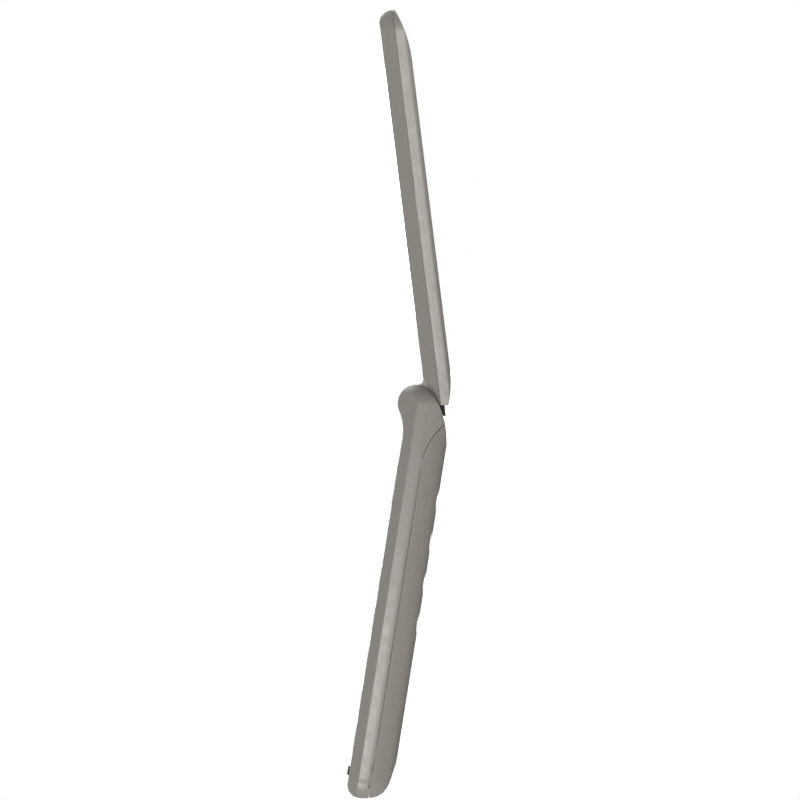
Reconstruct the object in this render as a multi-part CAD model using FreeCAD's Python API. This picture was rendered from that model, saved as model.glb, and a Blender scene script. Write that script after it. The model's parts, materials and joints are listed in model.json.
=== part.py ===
import FreeCAD, Part
import math
import os

from FreeCAD import Vector

# Flip phone, lying open on its back. Sizes are millimetres.
# X runs along the hinge, +X is the user's right. Y runs from the foot (-Y) to the lid's tip (+Y). Z is up,
# out of the keypad. The origin is on the back, in the middle of the base.
#
# The base and the lid are drawn about the hinge axis. A place on them is (x, s, z): s is the distance from the
# axis along that half, and z is the height above the axis with the lid laid flat. FROM_FOOT, FROM_TIP and
# FROM_SIDE are distances in from the base's foot, the lid's tip and the side of the phone.

# overall
WIDTH = 48.0
BASE_LENGTH = 93.75
LID_LENGTH = 92.5
OPEN_DEG = 164.0
HALF = WIDTH / 2
ORIGIN_S = 46.0

# heights about the hinge axis
KEYPAD_UP = 2.0
BACK_DOWN = 8.53
CLOSED_GAP = 0.27
LID_THICK = 6.58
LID_INNER_DOWN = KEYPAD_UP + CLOSED_GAP
LID_OUTER_DOWN = LID_INNER_DOWN + LID_THICK

# walls and fits
BASE_WALL = 1.2
LID_WALL = 1.1
SEAM_GAP = 0.12
KEY_CLEAR = 0.15
FIT_CLEAR = 0.1
BEARING_CLEAR = 0.05
SEAT_CLEAR = 0.05
SWING_CLEAR = 0.25

# base outline, seen from the side
BARREL_R = 4.4
NECK_END = 8.3
SHOULDER_END = 10.0
TOE_R = 3.0
FOOT_FACE_R = 9.5
HEEL_R = 5.0
HEEL_SWEEP_R = 31.0
HEEL_SWEEP_FROM_FOOT = 11.75

# base outline, seen from above and from the end
FOOT_CORNER_R = 6.0
BEVEL_DOWN = 0.33
BEVEL_WIDE = 1.7
BACK_ROUND_R = 1.8
BACK_TURN_DOWN = 2.7
BACK_TURN_R = 5.0
BACK_DRAFT = 0.21
ROUND_RUNS_OUT = 0.06
CREASE_R = 0.8
EAR_DOME_R = 7.0
EAR_DOME_S = 2.4

# seam between the front and rear housing
SEAM_DOWN = 3.43
SEAM_BEND_S = 14.0
SEAM_BEND_R = 15.0
LIP_THICK = 0.7
LIP_CLEAR = 0.22
LIP_HIGH = 0.8
NOTCH_START_FROM_FOOT = 7.75
NOTCH_END_FROM_FOOT = 2.75
NOTCH_HIGH = 0.5
NOTCH_DEEP = 0.5

# thumb grips in the back
GRIP_FIRST = 19.2
GRIP_PITCH = 9.74
GRIP_LONG = 5.4
GRIP_DEEP = 0.27
GRIP_COUNT = 4

# hinge
EAR_WIDE = 7.4
KNUCKLE_SIDE_CLEAR = 0.15
HEEL_ARC_R = 4.75
LID_HEEL_R = 7.0
LID_END_DOWN = 5.5
LID_END_ROUND = 1.2
WEB_R = 1.3
CRADLE_WALL = 1.35
CRADLE_END = 0.05
CARTRIDGE_R = 2.5
CARTRIDGE_LONG = 15.0
CAM_SHAFT_R = 1.5
CAM_HEAD_R = 2.2
CAM_FLATS = 3.2
CAM_IN_EAR = 3.4
CAM_IN_CARTRIDGE = 2.6
BUSH_R = 2.2
BUSH_BORE_R = 1.3
BUSH_IN_EAR = 1.6
FLEX_CORE_R = 0.9
FLEX_WRAP_R = 1.7
FLEX_LEAVES_DEG = -135.0
FLEX_THICK = 0.15
FLEX_WIDE = 5.0
FLEX_FROM_CAMERA = 0.8
FLEX_POCKET = 3.4

# rubber stops and foot bumpers
STOP_WIDE = 4.0
STOP_START = -0.58
STOP_END = 1.9
STOP_BURIED = 5.0
STOP_DOWN_START = 6.66
STOP_DOWN_END = 7.35
BUMPER_FROM_SIDE = 9.5
BUMPER_FROM_FOOT = 5.55
BUMPER_WIDE = 4.0
BUMPER_LONG = 1.4
BUMPER_PROUD = 0.45
BUMPER_BURIED = 0.7

# keys
KEY_PROUD = 0.1
KEY_COLUMNS = 3
KEY_ROWS = 5
KEY_ROW_FIRST = 42.65
KEY_ROWS_FROM_FOOT = 13.9
KEYPAD_FROM_SIDE = 4.5
KEY_GAP_X = 1.2
KEY_GAP_S = 2.2
KEY_CORNER = 2.2
KEY_EDGE_R = 0.3
KEY_FLANGE = 0.4
KEY_FLANGE_THICK = 0.55
KEY_TRAVEL = 0.35
PLUNGER_R = 1.5
NIB_LONG = 1.4
NIB_HIGH = 0.1

# navigation keys
NAV_S = 24.3
NAV_R = 9.3
NAV_INNER_R = 4.4
NAV_PROUD = -0.1
NAV_TILT_ROOM = 0.36
NAV_PAD_ROOM = 0.25
NAV_FLANGE = 0.7
NAV_RING_THICK = 0.45
NAV_PAD_R = 8.6
NAV_PAD_INNER_R = 5.3
NAV_PLUNGER_R = 1.0
NAV_PLUNGER_AT = 7.0
OK_R = 3.7
SOFT_INNER_X = 10.2
SOFT_FROM_SIDE = 4.2
SOFT_START = 14.9
SOFT_END = 24.4
SOFT_FROM_RING = 1.35

# board stack, downwards from the keypad wall
BOARD_TOP = -1.3
BOARD_THICK = 0.8
SHEET_THICK = 0.15
DOME_HIGH = 0.25
DOME_R = 2.4
BOARD_EDGE = 1.6
BOARD_START = 10.5
BOARD_FROM_FOOT = 3.55

# battery and its well
BATTERY_FROM_SIDE = 6.7
BATTERY_START = 34.5
BATTERY_FROM_FOOT = 13.45
BATTERY_THICK = 3.6
WELL_CLEAR = 0.25
WELL_WALL = 0.8
WELL_FLOOR = 0.5
WELL_START = 16.9
DOOR_THICK = 1.0
DOOR_FROM_SIDE = 5.1
DOOR_START = 15.5
DOOR_FROM_FOOT = 12.15
DOOR_CORNER = 5.0
DOOR_GAP = 0.12
DECK_THICK = 0.9
TAB_WIDE = 3.0
TAB_THICK = 0.7
TAB_HIGH = 0.8
SOCKET_HALF = 13.0
SOCKET_START = 17.4
SOCKET_END = 31.4
SOCKET_THICK = 1.8
CONTACT_WIDE = 9.0
CONTACT_LONG = 1.5
CONTACT_HIGH = 3.6
CONTACT_COUNT = 3

# pieces at the foot and along the sides
SPEAKER_WIDE = 22.0
SPEAKER_FROM_FOOT = 10.85
SPEAKER_LONG = 5.6
SPEAKER_THICK = 2.7
SPEAKER_DOWN = 6.5
SLOT_WIDE = 12.0
SLOT_LONG = 0.7
SLOT_PITCH = 1.6
SLOT_COUNT = 3
MOTOR_R = 1.75
MOTOR_LONG = 10.0
MOTOR_START = 60.0
MOTOR_FROM_WALL = 0.7
MIC_R = 2.0
MIC_HIGH = 1.4
MIC_FROM_FOOT = 6.15
MIC_HOLE_R = 0.5
ANTENNA_START_FROM_FOOT = 8.75
ANTENNA_END_FROM_FOOT = 4.15
ANTENNA_FROM_SIDE = 11.0
ANTENNA_WIDE = 9.0
ANTENNA_HIGH = 1.8
SCREW_R = 0.8
SCREW_HEAD_R = 1.6
SCREW_HEAD_HIGH = 0.8
SCREW_SUNK = 0.15
BOSS_R = 2.0
BOSS_GAP = 0.1
HINGE_SCREW_FROM_SIDE = 10.4
HINGE_SCREW_S = 11.6
FOOT_SCREW_FROM_SIDE = 7.0
FOOT_SCREW_FROM_FOOT = 7.35

# left side: volume rocker and charging port
ROCKER_S = 27.0
ROCKER_LONG = 13.0
ROCKER_HIGH = 2.1
ROCKER_PROUD = 0.5
ROCKER_MID = 1.85
ROCKER_FLANGE = 0.6
ROCKER_ROOM = 0.4
PORT_FROM_FOOT = 25.75
PORT_LONG = 9.0
PORT_HIGH = 2.0
PORT_MID = 1.85
COVER_LONG = 12.0
COVER_HIGH = 2.6
COVER_THICK = 0.7
CONNECTOR_DEEP = 3.6

# lid outline
TIP_R = 2.9
TIP_SWEEP_R = 31.0
TIP_SWEEP_FROM_TIP = 12.5
TIP_EDGE_R = 0.5
HINGE_SWEEP_R = 26.0
HINGE_SWEEP_START = 7.0
HINGE_EDGE_R = 0.8
LID_END = 0.92
LID_TOE = 1.36
TIP_CORNER_R = 6.0
LID_BEVEL_WIDE = 2.0
LID_SEAM_DOWN = 5.68
LID_SEAM_GAP = 0.05
LID_ROUND_R = 1.2
LID_DRAFT = 0.03

# lid pieces
WINDOW_FROM_SIDE = 3.7
WINDOW_START = 20.5
WINDOW_FROM_TIP = 13.0
WINDOW_THICK = 0.75
WINDOW_CORNER = 3.0
VIEW_IN_SIDE = 3.3
VIEW_START = 27.0
VIEW_IN_END = 6.5
DISPLAY_IN_SIDE = 1.9
DISPLAY_START = 24.5
DISPLAY_IN_END = 3.5
DISPLAY_THICK = 1.9
CHASSIS_THICK = 0.3
CHASSIS_PAST_WINDOW = 0.1
LID_BOARD_THICK = 0.6
LID_BOARD_IN_SIDE = 2.8
LID_BOARD_START = 24.0
LID_BOARD_FROM_TIP = 14.5
OUTER_WINDOW_FROM_SIDE = 10.0
OUTER_WINDOW_START = 30.0
OUTER_WINDOW_END = 53.0
OUTER_WINDOW_THICK = 0.65
OUTER_VIEW_EDGE = 1.8
OUTER_DISPLAY_THICK = 1.0
CAMERA_S = 15.6
CAMERA_HALF = 3.8
CAMERA_WINDOW_R = 3.2
CAMERA_RING_R = 5.2
CAMERA_RING_THICK = 0.65
EARPIECE_FROM_TIP = 7.9
EARPIECE_HALF = 5.5
EARPIECE_LONG = 5.0
EARPIECE_THICK = 1.8
EAR_SLOT_HALF = 3.2
EAR_SLOT_LONG = 0.8
EAR_SLOT_PITCH = 1.5
EAR_SLOT_COUNT = 3
MESH_THICK = 0.2
MAGNET_FROM_SIDE = 4.6
MAGNET_FROM_TIP = 10.5
MAGNET_LONG = 3.0
PLUG_R = 2.0
PLUG_THICK = 0.5
NEAR_SCREW_FROM_SIDE = 6.4
NEAR_SCREW_S = 12.6
TIP_SCREW_FROM_SIDE = 8.4
TIP_SCREW_FROM_TIP = 8.3

# a general small length, a length past everything, and a whole turn in degrees
EDGE = 1.0
FAR = 200.0
WHOLE_TURN = 360.0

# worked out from the sizes above
HEEL_SWEEP_START = BASE_LENGTH - HEEL_SWEEP_FROM_FOOT
NOTCH_START = BASE_LENGTH - NOTCH_START_FROM_FOOT
NOTCH_END = BASE_LENGTH - NOTCH_END_FROM_FOOT
EAR_INNER = HALF - EAR_WIDE
BUMPER_X = HALF - BUMPER_FROM_SIDE
BUMPER_S = BASE_LENGTH - BUMPER_FROM_FOOT
KEY_ROW_LAST = BASE_LENGTH - KEY_ROWS_FROM_FOOT
SOFT_OUTER_X = HALF - SOFT_FROM_SIDE
BOARD_END = BASE_LENGTH - BOARD_FROM_FOOT
BATTERY_HALF = HALF - BATTERY_FROM_SIDE
BATTERY_END = BASE_LENGTH - BATTERY_FROM_FOOT
DOOR_HALF = HALF - DOOR_FROM_SIDE
DOOR_END = BASE_LENGTH - DOOR_FROM_FOOT
SPEAKER_START = BASE_LENGTH - SPEAKER_FROM_FOOT
MIC_S = BASE_LENGTH - MIC_FROM_FOOT
ANTENNA_START = BASE_LENGTH - ANTENNA_START_FROM_FOOT
ANTENNA_END = BASE_LENGTH - ANTENNA_END_FROM_FOOT
PORT_S = BASE_LENGTH - PORT_FROM_FOOT
TIP_SWEEP_START = LID_LENGTH - TIP_SWEEP_FROM_TIP
WINDOW_HALF = HALF - WINDOW_FROM_SIDE
WINDOW_END = LID_LENGTH - WINDOW_FROM_TIP
VIEW_HALF = WINDOW_HALF - VIEW_IN_SIDE
VIEW_END = WINDOW_END - VIEW_IN_END
DISPLAY_HALF = WINDOW_HALF - DISPLAY_IN_SIDE
DISPLAY_END = WINDOW_END - DISPLAY_IN_END
CHASSIS_HALF = WINDOW_HALF + CHASSIS_PAST_WINDOW
LID_BOARD_HALF = WINDOW_HALF - LID_BOARD_IN_SIDE
LID_BOARD_END = LID_LENGTH - LID_BOARD_FROM_TIP
OUTER_WINDOW_HALF = HALF - OUTER_WINDOW_FROM_SIDE
EARPIECE_S = LID_LENGTH - EARPIECE_FROM_TIP
MAGNET_X = HALF - MAGNET_FROM_SIDE
MAGNET_S = LID_LENGTH - MAGNET_FROM_TIP
KEY_PITCH_X = 2 * (HALF - KEYPAD_FROM_SIDE) / KEY_COLUMNS
KEY_PITCH_S = (KEY_ROW_LAST - KEY_ROW_FIRST) / (KEY_ROWS - 1)
KEY_WIDE = KEY_PITCH_X - KEY_GAP_X
KEY_LONG = KEY_PITCH_S - KEY_GAP_S
ANTENNA_X1 = HALF - ANTENNA_FROM_SIDE
ANTENNA_X0 = ANTENNA_X1 - ANTENNA_WIDE
BASE_SCREWS = [(sign * (HALF - x), s) for x, s in ((HINGE_SCREW_FROM_SIDE, HINGE_SCREW_S),
                                                   (FOOT_SCREW_FROM_SIDE, BASE_LENGTH - FOOT_SCREW_FROM_FOOT))
               for sign in (1, -1)]
LID_SCREWS = [(sign * (HALF - x), s) for x, s in ((NEAR_SCREW_FROM_SIDE, NEAR_SCREW_S),
                                                  (TIP_SCREW_FROM_SIDE, LID_LENGTH - TIP_SCREW_FROM_TIP))
              for sign in (1, -1)]
EAR_DOME_X = HALF - math.sqrt(EAR_DOME_R ** 2 - EAR_DOME_S ** 2)
KEYPAD_INNER = KEYPAD_UP - BASE_WALL
KEY_TOP = KEYPAD_UP + KEY_PROUD
FLANGE_TOP = KEYPAD_INNER - FIT_CLEAR
FLANGE_LOW = FLANGE_TOP - KEY_FLANGE_THICK
DOME_TOP = BOARD_TOP + SHEET_THICK + DOME_HIGH
PLUNGER_LOW = DOME_TOP + KEY_TRAVEL + SEAT_CLEAR
BOARD_LOW = BOARD_TOP - BOARD_THICK
DOOR_TOP = -BACK_DOWN + DOOR_THICK
DECK_LOW = DOOR_TOP + SEAT_CLEAR
DECK_TOP = DECK_LOW + DECK_THICK
BATTERY_LOW = DOOR_TOP + FIT_CLEAR
BATTERY_TOP = BATTERY_LOW + BATTERY_THICK
WELL_TOP = BATTERY_TOP + FIT_CLEAR
WELL_FLOOR_TOP = WELL_TOP + WELL_FLOOR
WELL_HALF = BATTERY_HALF + WELL_CLEAR
WELL_END = BATTERY_END + WELL_CLEAR
KNUCKLE_HALF = EAR_INNER - KNUCKLE_SIDE_CLEAR
WRAP_START = -CAMERA_HALF - FLEX_FROM_CAMERA - FLEX_WIDE
WRAP_END = WRAP_START + FLEX_WIDE
BUSH_IN_KNUCKLE = EAR_INNER + WRAP_START - EDGE
POCKET_R = BARREL_R + SWING_CLEAR
CRADLE_R = POCKET_R + CRADLE_WALL
LID_INNER_WALL = -LID_INNER_DOWN - LID_WALL
LID_OUTER_WALL = -LID_OUTER_DOWN + LID_WALL
DISPLAY_TOP = LID_INNER_WALL - FIT_CLEAR
DISPLAY_LOW = DISPLAY_TOP - DISPLAY_THICK
CHASSIS_LOW = DISPLAY_LOW - SEAT_CLEAR - CHASSIS_THICK
LID_BOARD_TOP = CHASSIS_LOW - FIT_CLEAR
LID_BOARD_LOW = LID_BOARD_TOP - LID_BOARD_THICK

BASE = -1
LID = 1


def at(half, x, s, z):
    """The point (x, s, z) of one half, about the hinge axis."""
    return Vector(x, half * s, z)


def block(half, x0, x1, s0, s1, z0, z1):
    low_y = min(half * s0, half * s1)
    return Part.makeBox(x1 - x0, abs(s1 - s0), z1 - z0, Vector(x0, low_y, z0))


def disc(half, x, s, radius, z0, z1):
    return Part.makeCylinder(radius, z1 - z0, at(half, x, s, z0), Vector(0, 0, 1))


def rod(half, x0, x1, s, z, radius):
    return Part.makeCylinder(radius, x1 - x0, at(half, x0, s, z), Vector(1, 0, 0))


def plate(half, x0, x1, s0, s1, z0, z1, corner):
    """A plate with rounded corners."""
    solid = block(half, x0, x1, s0, s1, z0, z1)
    upright = [e for e in solid.Edges if e.BoundBox.ZLength > (z1 - z0) / 2]
    return solid.makeFillet(corner, upright)


def arc(half, centre, radius, start_deg, end_deg):
    """An arc in the side view, about centre (s, z)."""
    points = []
    for angle in (start_deg, (start_deg + end_deg) / 2, end_deg):
        s = centre[0] + radius * math.cos(math.radians(angle))
        z = centre[1] + radius * math.sin(math.radians(angle))
        points.append(at(half, 0, s, z))
    return Part.Arc(*points).toShape()


def close_outline(arcs):
    """Joins arcs, given in order, with straight edges and closes the loop."""
    edges = []
    for i, edge in enumerate(arcs):
        edges.append(edge)
        start = edge.valueAt(edge.LastParameter)
        following = arcs[(i + 1) % len(arcs)]
        end = following.valueAt(following.FirstParameter)
        if start.distanceToPoint(end) > 1e-6:
            edges.append(Part.LineSegment(start, end).toShape())
    return Part.Face(Part.Wire(edges))


def polygon(half, points):
    corners = [at(half, 0, s, z) for s, z in points]
    return Part.Face(Part.makePolygon(corners + corners[:1]))


def strip(half, points, low, high):
    """A bent sheet seen from the side: the line through points, from low to high on its left."""
    sides = ([], [])
    for i, point in enumerate(points):
        before = points[max(i - 1, 0)]
        after = points[min(i + 1, len(points) - 1)]
        turns = []
        for a, b in ((before, point), (point, after)):
            span = math.hypot(b[0] - a[0], b[1] - a[1])
            if span > 0:
                turns.append(((a[1] - b[1]) / span, (b[0] - a[0]) / span))
        s = sum(t[0] for t in turns) / len(turns)
        z = sum(t[1] for t in turns) / len(turns)
        scale = s * s + z * z
        for side, off in zip(sides, (low, high)):
            side.append((point[0] + off * s / scale, point[1] + off * z / scale))
    return polygon(half, sides[0] + sides[1][::-1])


def across(face, x0, x1):
    """Sweeps a side-view face from x0 to x1."""
    solid = face.extrude(Vector(x1 - x0, 0, 0))
    solid.translate(Vector(x0, 0, 0))
    return solid


def angle_of(point, centre):
    return math.degrees(math.atan2(point[1] - centre[1], point[0] - centre[0]))


def circle_meet(a, ra, b, rb, side):
    """The point at ra from a and rb from b, on the given side of the line a to b."""
    dx, dz = b[0] - a[0], b[1] - a[1]
    span = math.hypot(dx, dz)
    along = (ra * ra - rb * rb + span * span) / (2 * span)
    off = side * math.sqrt(ra * ra - along * along)
    return (a[0] + (along * dx - off * dz) / span, a[1] + (along * dz + off * dx) / span)


def base_outline():
    """The base from the side: barrel, neck, keypad, toe, foot, heel, back and shoulder."""
    neck_r = ((NECK_END ** 2 + KEYPAD_UP ** 2 - BARREL_R ** 2) / (2 * (BARREL_R - KEYPAD_UP)))
    neck = (NECK_END, KEYPAD_UP + neck_r)
    toe = (BASE_LENGTH - TOE_R, KEYPAD_UP - TOE_R)
    foot = (BASE_LENGTH - FOOT_FACE_R, toe[1])
    sweep = (HEEL_SWEEP_START, HEEL_SWEEP_R - BACK_DOWN)
    heel = circle_meet(sweep, HEEL_SWEEP_R - HEEL_R, foot, FOOT_FACE_R - HEEL_R, 1)
    shoulder_r = ((SHOULDER_END ** 2 + BACK_DOWN ** 2 - BARREL_R ** 2) / (2 * (BACK_DOWN - BARREL_R)))
    shoulder = (SHOULDER_END, shoulder_r - BACK_DOWN)
    foot_end = angle_of(heel, foot)
    heel_end = angle_of(heel, sweep)
    shoulder_start = angle_of((0, 0), shoulder)
    return close_outline([
        arc(BASE, neck, neck_r, angle_of((0, 0), neck), -90),
        arc(BASE, toe, TOE_R, 90, 0),
        arc(BASE, foot, FOOT_FACE_R, 0, foot_end),
        arc(BASE, heel, HEEL_R, foot_end, heel_end),
        arc(BASE, sweep, HEEL_SWEEP_R, heel_end, -90),
        arc(BASE, shoulder, shoulder_r, -90, shoulder_start),
        arc(BASE, (0, 0), BARREL_R, shoulder_start + WHOLE_TURN, angle_of(neck, (0, 0))),
    ])


def lid_outline():
    """The lid's full-width part from the side, with the arc that clears the base's ears."""
    heel_s = math.sqrt((HEEL_ARC_R + LID_HEEL_R) ** 2 - (LID_INNER_DOWN + LID_HEEL_R) ** 2)
    heel = (heel_s, -LID_INNER_DOWN - LID_HEEL_R)
    tip = (LID_LENGTH - TIP_R, -LID_INNER_DOWN - TIP_R)
    sweep = (TIP_SWEEP_START, TIP_SWEEP_R - LID_OUTER_DOWN)
    edge_s = LID_LENGTH - TIP_EDGE_R
    edge = (edge_s, sweep[1] - math.sqrt((TIP_SWEEP_R - TIP_EDGE_R) ** 2 - (edge_s - sweep[0]) ** 2))
    under = (HINGE_SWEEP_START, HINGE_SWEEP_R - LID_OUTER_DOWN)
    end_s = -LID_TOE + HINGE_EDGE_R
    end = (end_s, under[1] - math.sqrt((HINGE_SWEEP_R - HINGE_EDGE_R) ** 2 - (end_s - under[0]) ** 2))
    corner_r = math.hypot(LID_END, LID_END_DOWN)
    leave = angle_of((-LID_END, -LID_END_DOWN), (0, 0)) + math.degrees(math.acos(HEEL_ARC_R / corner_r))
    return close_outline([
        Part.LineSegment(at(LID, 0, end[0] - HINGE_EDGE_R, end[1]), at(LID, 0, -LID_END, -LID_END_DOWN)).toShape(),
        arc(LID, (0, 0), HEEL_ARC_R, leave, angle_of(heel, (0, 0))),
        arc(LID, heel, LID_HEEL_R, 180 + angle_of(heel, (0, 0)), 90),
        arc(LID, tip, TIP_R, 90, 0),
        arc(LID, edge, TIP_EDGE_R, 0, angle_of(edge, sweep)),
        arc(LID, sweep, TIP_SWEEP_R, angle_of(edge, sweep), -90),
        arc(LID, under, HINGE_SWEEP_R, -90, angle_of(end, under)),
        arc(LID, end, HINGE_EDGE_R, angle_of(end, under), -180),
    ])


def plan_wire(half, reach, s0, s1, corner, z):
    """Outline from above: square at s0, with rounded corners at s1."""
    turn = corner * (1 - math.sqrt(0.5))
    a = at(half, -reach, s0, z)
    b = at(half, -reach, s1 - corner, z)
    c = at(half, -reach + turn, s1 - turn, z)
    d = at(half, -reach + corner, s1, z)
    e = at(half, reach - corner, s1, z)
    f = at(half, reach - turn, s1 - turn, z)
    g = at(half, reach, s1 - corner, z)
    h = at(half, reach, s0, z)
    edges = [
        Part.LineSegment(a, b).toShape(),
        Part.Arc(b, c, d).toShape(),
        Part.LineSegment(d, e).toShape(),
        Part.Arc(e, f, g).toShape(),
        Part.LineSegment(g, h).toShape(),
        Part.LineSegment(h, a).toShape(),
    ]
    return Part.Wire(edges)


def loop_at(solid, half, s0, z):
    """The edges of a plan outline at height z, without the square end at s0."""
    found = []
    for edge in solid.Edges:
        box = edge.BoundBox
        level = abs(box.ZMin - z) < 1e-4 and abs(box.ZMax - z) < 1e-4
        at_end = abs(box.YMin - half * s0) < 1e-4 and abs(box.YMax - half * s0) < 1e-4
        if level and not at_end:
            found.append(edge)
    return found


def hull(half, inset, s1, corner, low, turn, draft, wide, top, slope):
    """A half from above and from the end: drafted back up to turn, straight up to wide, then bevelled."""
    s0 = -BARREL_R - EDGE
    reach, end, corner = HALF - inset, s1 - inset, corner - inset
    lean = draft * (turn - low)
    step = slope * (top - wide)
    back = Part.makeLoft([plan_wire(half, reach - lean, s0, end - lean, corner - lean, low),
                          plan_wire(half, reach, s0, end, corner, turn)], True, True)
    bevel = Part.makeLoft([plan_wire(half, reach, s0, end, corner, wide),
                           plan_wire(half, reach - step, s0, end - step, corner - step, top)], True, True)
    band = []
    if wide > turn:
        band.append(Part.Face(plan_wire(half, reach, s0, end, corner, turn)).extrude(Vector(0, 0, wide - turn)))
    return back.fuse(band + [bevel]).removeSplitter()


def rounded(body, half, rounds):
    """Rounds the plan outlines of a half; each round is a radius and the height of its outline."""
    for radius, z in rounds:
        body = body.makeFillet(radius, loop_at(body, half, -BARREL_R - EDGE, z))
    return body


def base_hull(inset, finished):
    slope = BEVEL_WIDE / (KEYPAD_UP + BEVEL_DOWN)
    low = -BACK_DOWN - ROUND_RUNS_OUT + inset
    body = hull(BASE, inset, BASE_LENGTH + EDGE, FOOT_CORNER_R, low, -BACK_TURN_DOWN, BACK_DRAFT, -BEVEL_DOWN,
                BARREL_R + EDGE, slope)
    rounds = [(BACK_ROUND_R - inset, low)]
    if finished:
        rounds += [(BACK_TURN_R, -BACK_TURN_DOWN), (CREASE_R, -BEVEL_DOWN)]
    return rounded(body, BASE, rounds)


def lid_slope():
    return LID_BEVEL_WIDE / (LID_SEAM_DOWN - LID_INNER_DOWN)


def lid_hull(inset, finished):
    low = -LID_OUTER_DOWN - ROUND_RUNS_OUT + inset
    body = hull(LID, inset, LID_LENGTH + EDGE, TIP_CORNER_R, low, -LID_SEAM_DOWN, LID_DRAFT, -LID_SEAM_DOWN,
                -LID_INNER_DOWN + EDGE, lid_slope())
    rounds = [(LID_ROUND_R, low)]
    if finished:
        rounds.append((CREASE_R, -LID_SEAM_DOWN))
    return rounded(body, LID, rounds)


def ear_dome(sign):
    """What rounds the end of an ear: a ball above the hinge axis and an upright round below it."""
    low_x, high_x = sorted((sign * EAR_DOME_X, sign * (HALF + EDGE)))
    corner = block(BASE, low_x, high_x, -BARREL_R - EDGE, 0, -BACK_DOWN, BACK_DOWN)
    centre = at(BASE, sign * EAR_DOME_X, EAR_DOME_S, 0)
    round_end = disc(BASE, sign * EAR_DOME_X, EAR_DOME_S, EAR_DOME_R, -BACK_DOWN - EDGE, 0)
    return corner.cut([Part.makeSphere(EAR_DOME_R, centre), round_end])


def end_round(sign):
    """What rounds the lid's side edge beside an ear; it leans with the lid's bevel."""
    deep = LID_END_ROUND
    middle = deep * math.sqrt(0.5)
    corner = Vector(HALF - deep, 0, HEEL_ARC_R)
    bend = Vector(HALF - deep + middle, 0, HEEL_ARC_R + deep - middle)
    rim = Vector(HALF, 0, HEEL_ARC_R + deep)
    out = Vector(HALF + EDGE * 3, 0, HEEL_ARC_R + deep)
    foot = Vector(HALF + EDGE * 3, 0, 0)
    start = Vector(HALF - deep, 0, 0)
    edges = [Part.Arc(corner, bend, rim).toShape()]
    for a, b in ((rim, out), (out, foot), (foot, start), (start, corner)):
        edges.append(Part.LineSegment(a, b).toShape())
    ring = Part.Face(Part.Wire(edges)).revolve(Vector(0, 0, 0), Vector(1, 0, 0), 360)
    lean = FreeCAD.Matrix()
    lean.A11 = sign
    lean.A13 = -sign * lid_slope()
    lean.A14 = -sign * lid_slope() * LID_SEAM_DOWN
    return ring.transformGeometry(lean)


def envelope(outline, body):
    return across(outline, -HALF - EDGE, HALF + EDGE).common(body)


def behind_seam(shift):
    """Everything behind the seam of the base, moved towards the front by shift."""
    centre = (SEAM_BEND_S, -SEAM_DOWN - SEAM_BEND_R)
    bend = arc(BASE, centre, SEAM_BEND_R + shift, 90, 180)
    face = close_outline([bend, Part.LineSegment(at(BASE, 0, FAR, centre[1]),
                                                 at(BASE, 0, FAR, shift - SEAM_DOWN)).toShape()])
    return across(face, -HALF - EDGE, HALF + EDGE)


def both_sides(make):
    """A left and a right copy of what make(sign) gives."""
    return [make(-1), make(1)]


def group(solids):
    return Part.makeCompound(solids)


def key_places():
    """Name and centre (x, s) of each rectangular key."""
    rows = [["send", "clear", "end"], ["1", "2", "3"], ["4", "5", "6"], ["7", "8", "9"], ["star", "0", "hash"]]
    places = []
    for row, names in enumerate(rows):
        for column, name in enumerate(names):
            places.append((name, (column - 1) * KEY_PITCH_X, KEY_ROW_FIRST + row * KEY_PITCH_S))
    return places


def key_cap(x0, x1, s0, s1, grow, low, top):
    return plate(BASE, x0 - grow, x1 + grow, s0 - grow, s1 + grow, low, top, KEY_CORNER + grow)


def top_edges(solid, z):
    return [e for e in solid.Edges if abs(e.BoundBox.ZMin - z) < 1e-4 and abs(e.BoundBox.ZMax - z) < 1e-4]


def number_key(name, x, s):
    x0, x1 = x - KEY_WIDE / 2, x + KEY_WIDE / 2
    s0, s1 = s - KEY_LONG / 2, s + KEY_LONG / 2
    cap = key_cap(x0, x1, s0, s1, 0, FLANGE_LOW, KEY_TOP)
    cap = cap.makeFillet(KEY_EDGE_R, top_edges(cap, KEY_TOP))
    flange = key_cap(x0, x1, s0, s1, KEY_FLANGE, FLANGE_LOW, FLANGE_TOP)
    plunger = disc(BASE, x, s, PLUNGER_R, PLUNGER_LOW, FLANGE_LOW)
    key = cap.fuse([flange, plunger])
    if name == "5":
        ball_r = (NIB_LONG ** 2 / 4 + NIB_HIGH ** 2) / (2 * NIB_HIGH)
        ball = Part.makeSphere(ball_r, at(BASE, x, s, KEY_TOP + NIB_HIGH - ball_r))
        key = key.fuse(ball.common(disc(BASE, x, s, NIB_LONG, KEY_TOP - FIT_CLEAR, KEY_TOP + EDGE)))
    return key.removeSplitter()


def soft_shape(sign, grow, low, top):
    """A soft key beside the ring: its inner corner follows the ring."""
    x0, x1 = sorted((sign * SOFT_INNER_X, sign * SOFT_OUTER_X))
    shape = key_cap(x0, x1, SOFT_START, SOFT_END, grow, low, top)
    ring = disc(BASE, 0, NAV_S, NAV_R + SOFT_FROM_RING - grow, low - EDGE, top + EDGE)
    return shape.cut(ring)


def soft_key(sign):
    cap = soft_shape(sign, 0, FLANGE_LOW, KEY_TOP)
    flange = soft_shape(sign, KEY_FLANGE, FLANGE_LOW, FLANGE_TOP)
    middle = sign * (SOFT_INNER_X + SOFT_OUTER_X) / 2 + sign * PLUNGER_R
    plunger = disc(BASE, middle, (SOFT_START + SOFT_END) / 2 - PLUNGER_R, PLUNGER_R, PLUNGER_LOW, FLANGE_LOW)
    return cap.fuse([flange, plunger]).removeSplitter()


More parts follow.
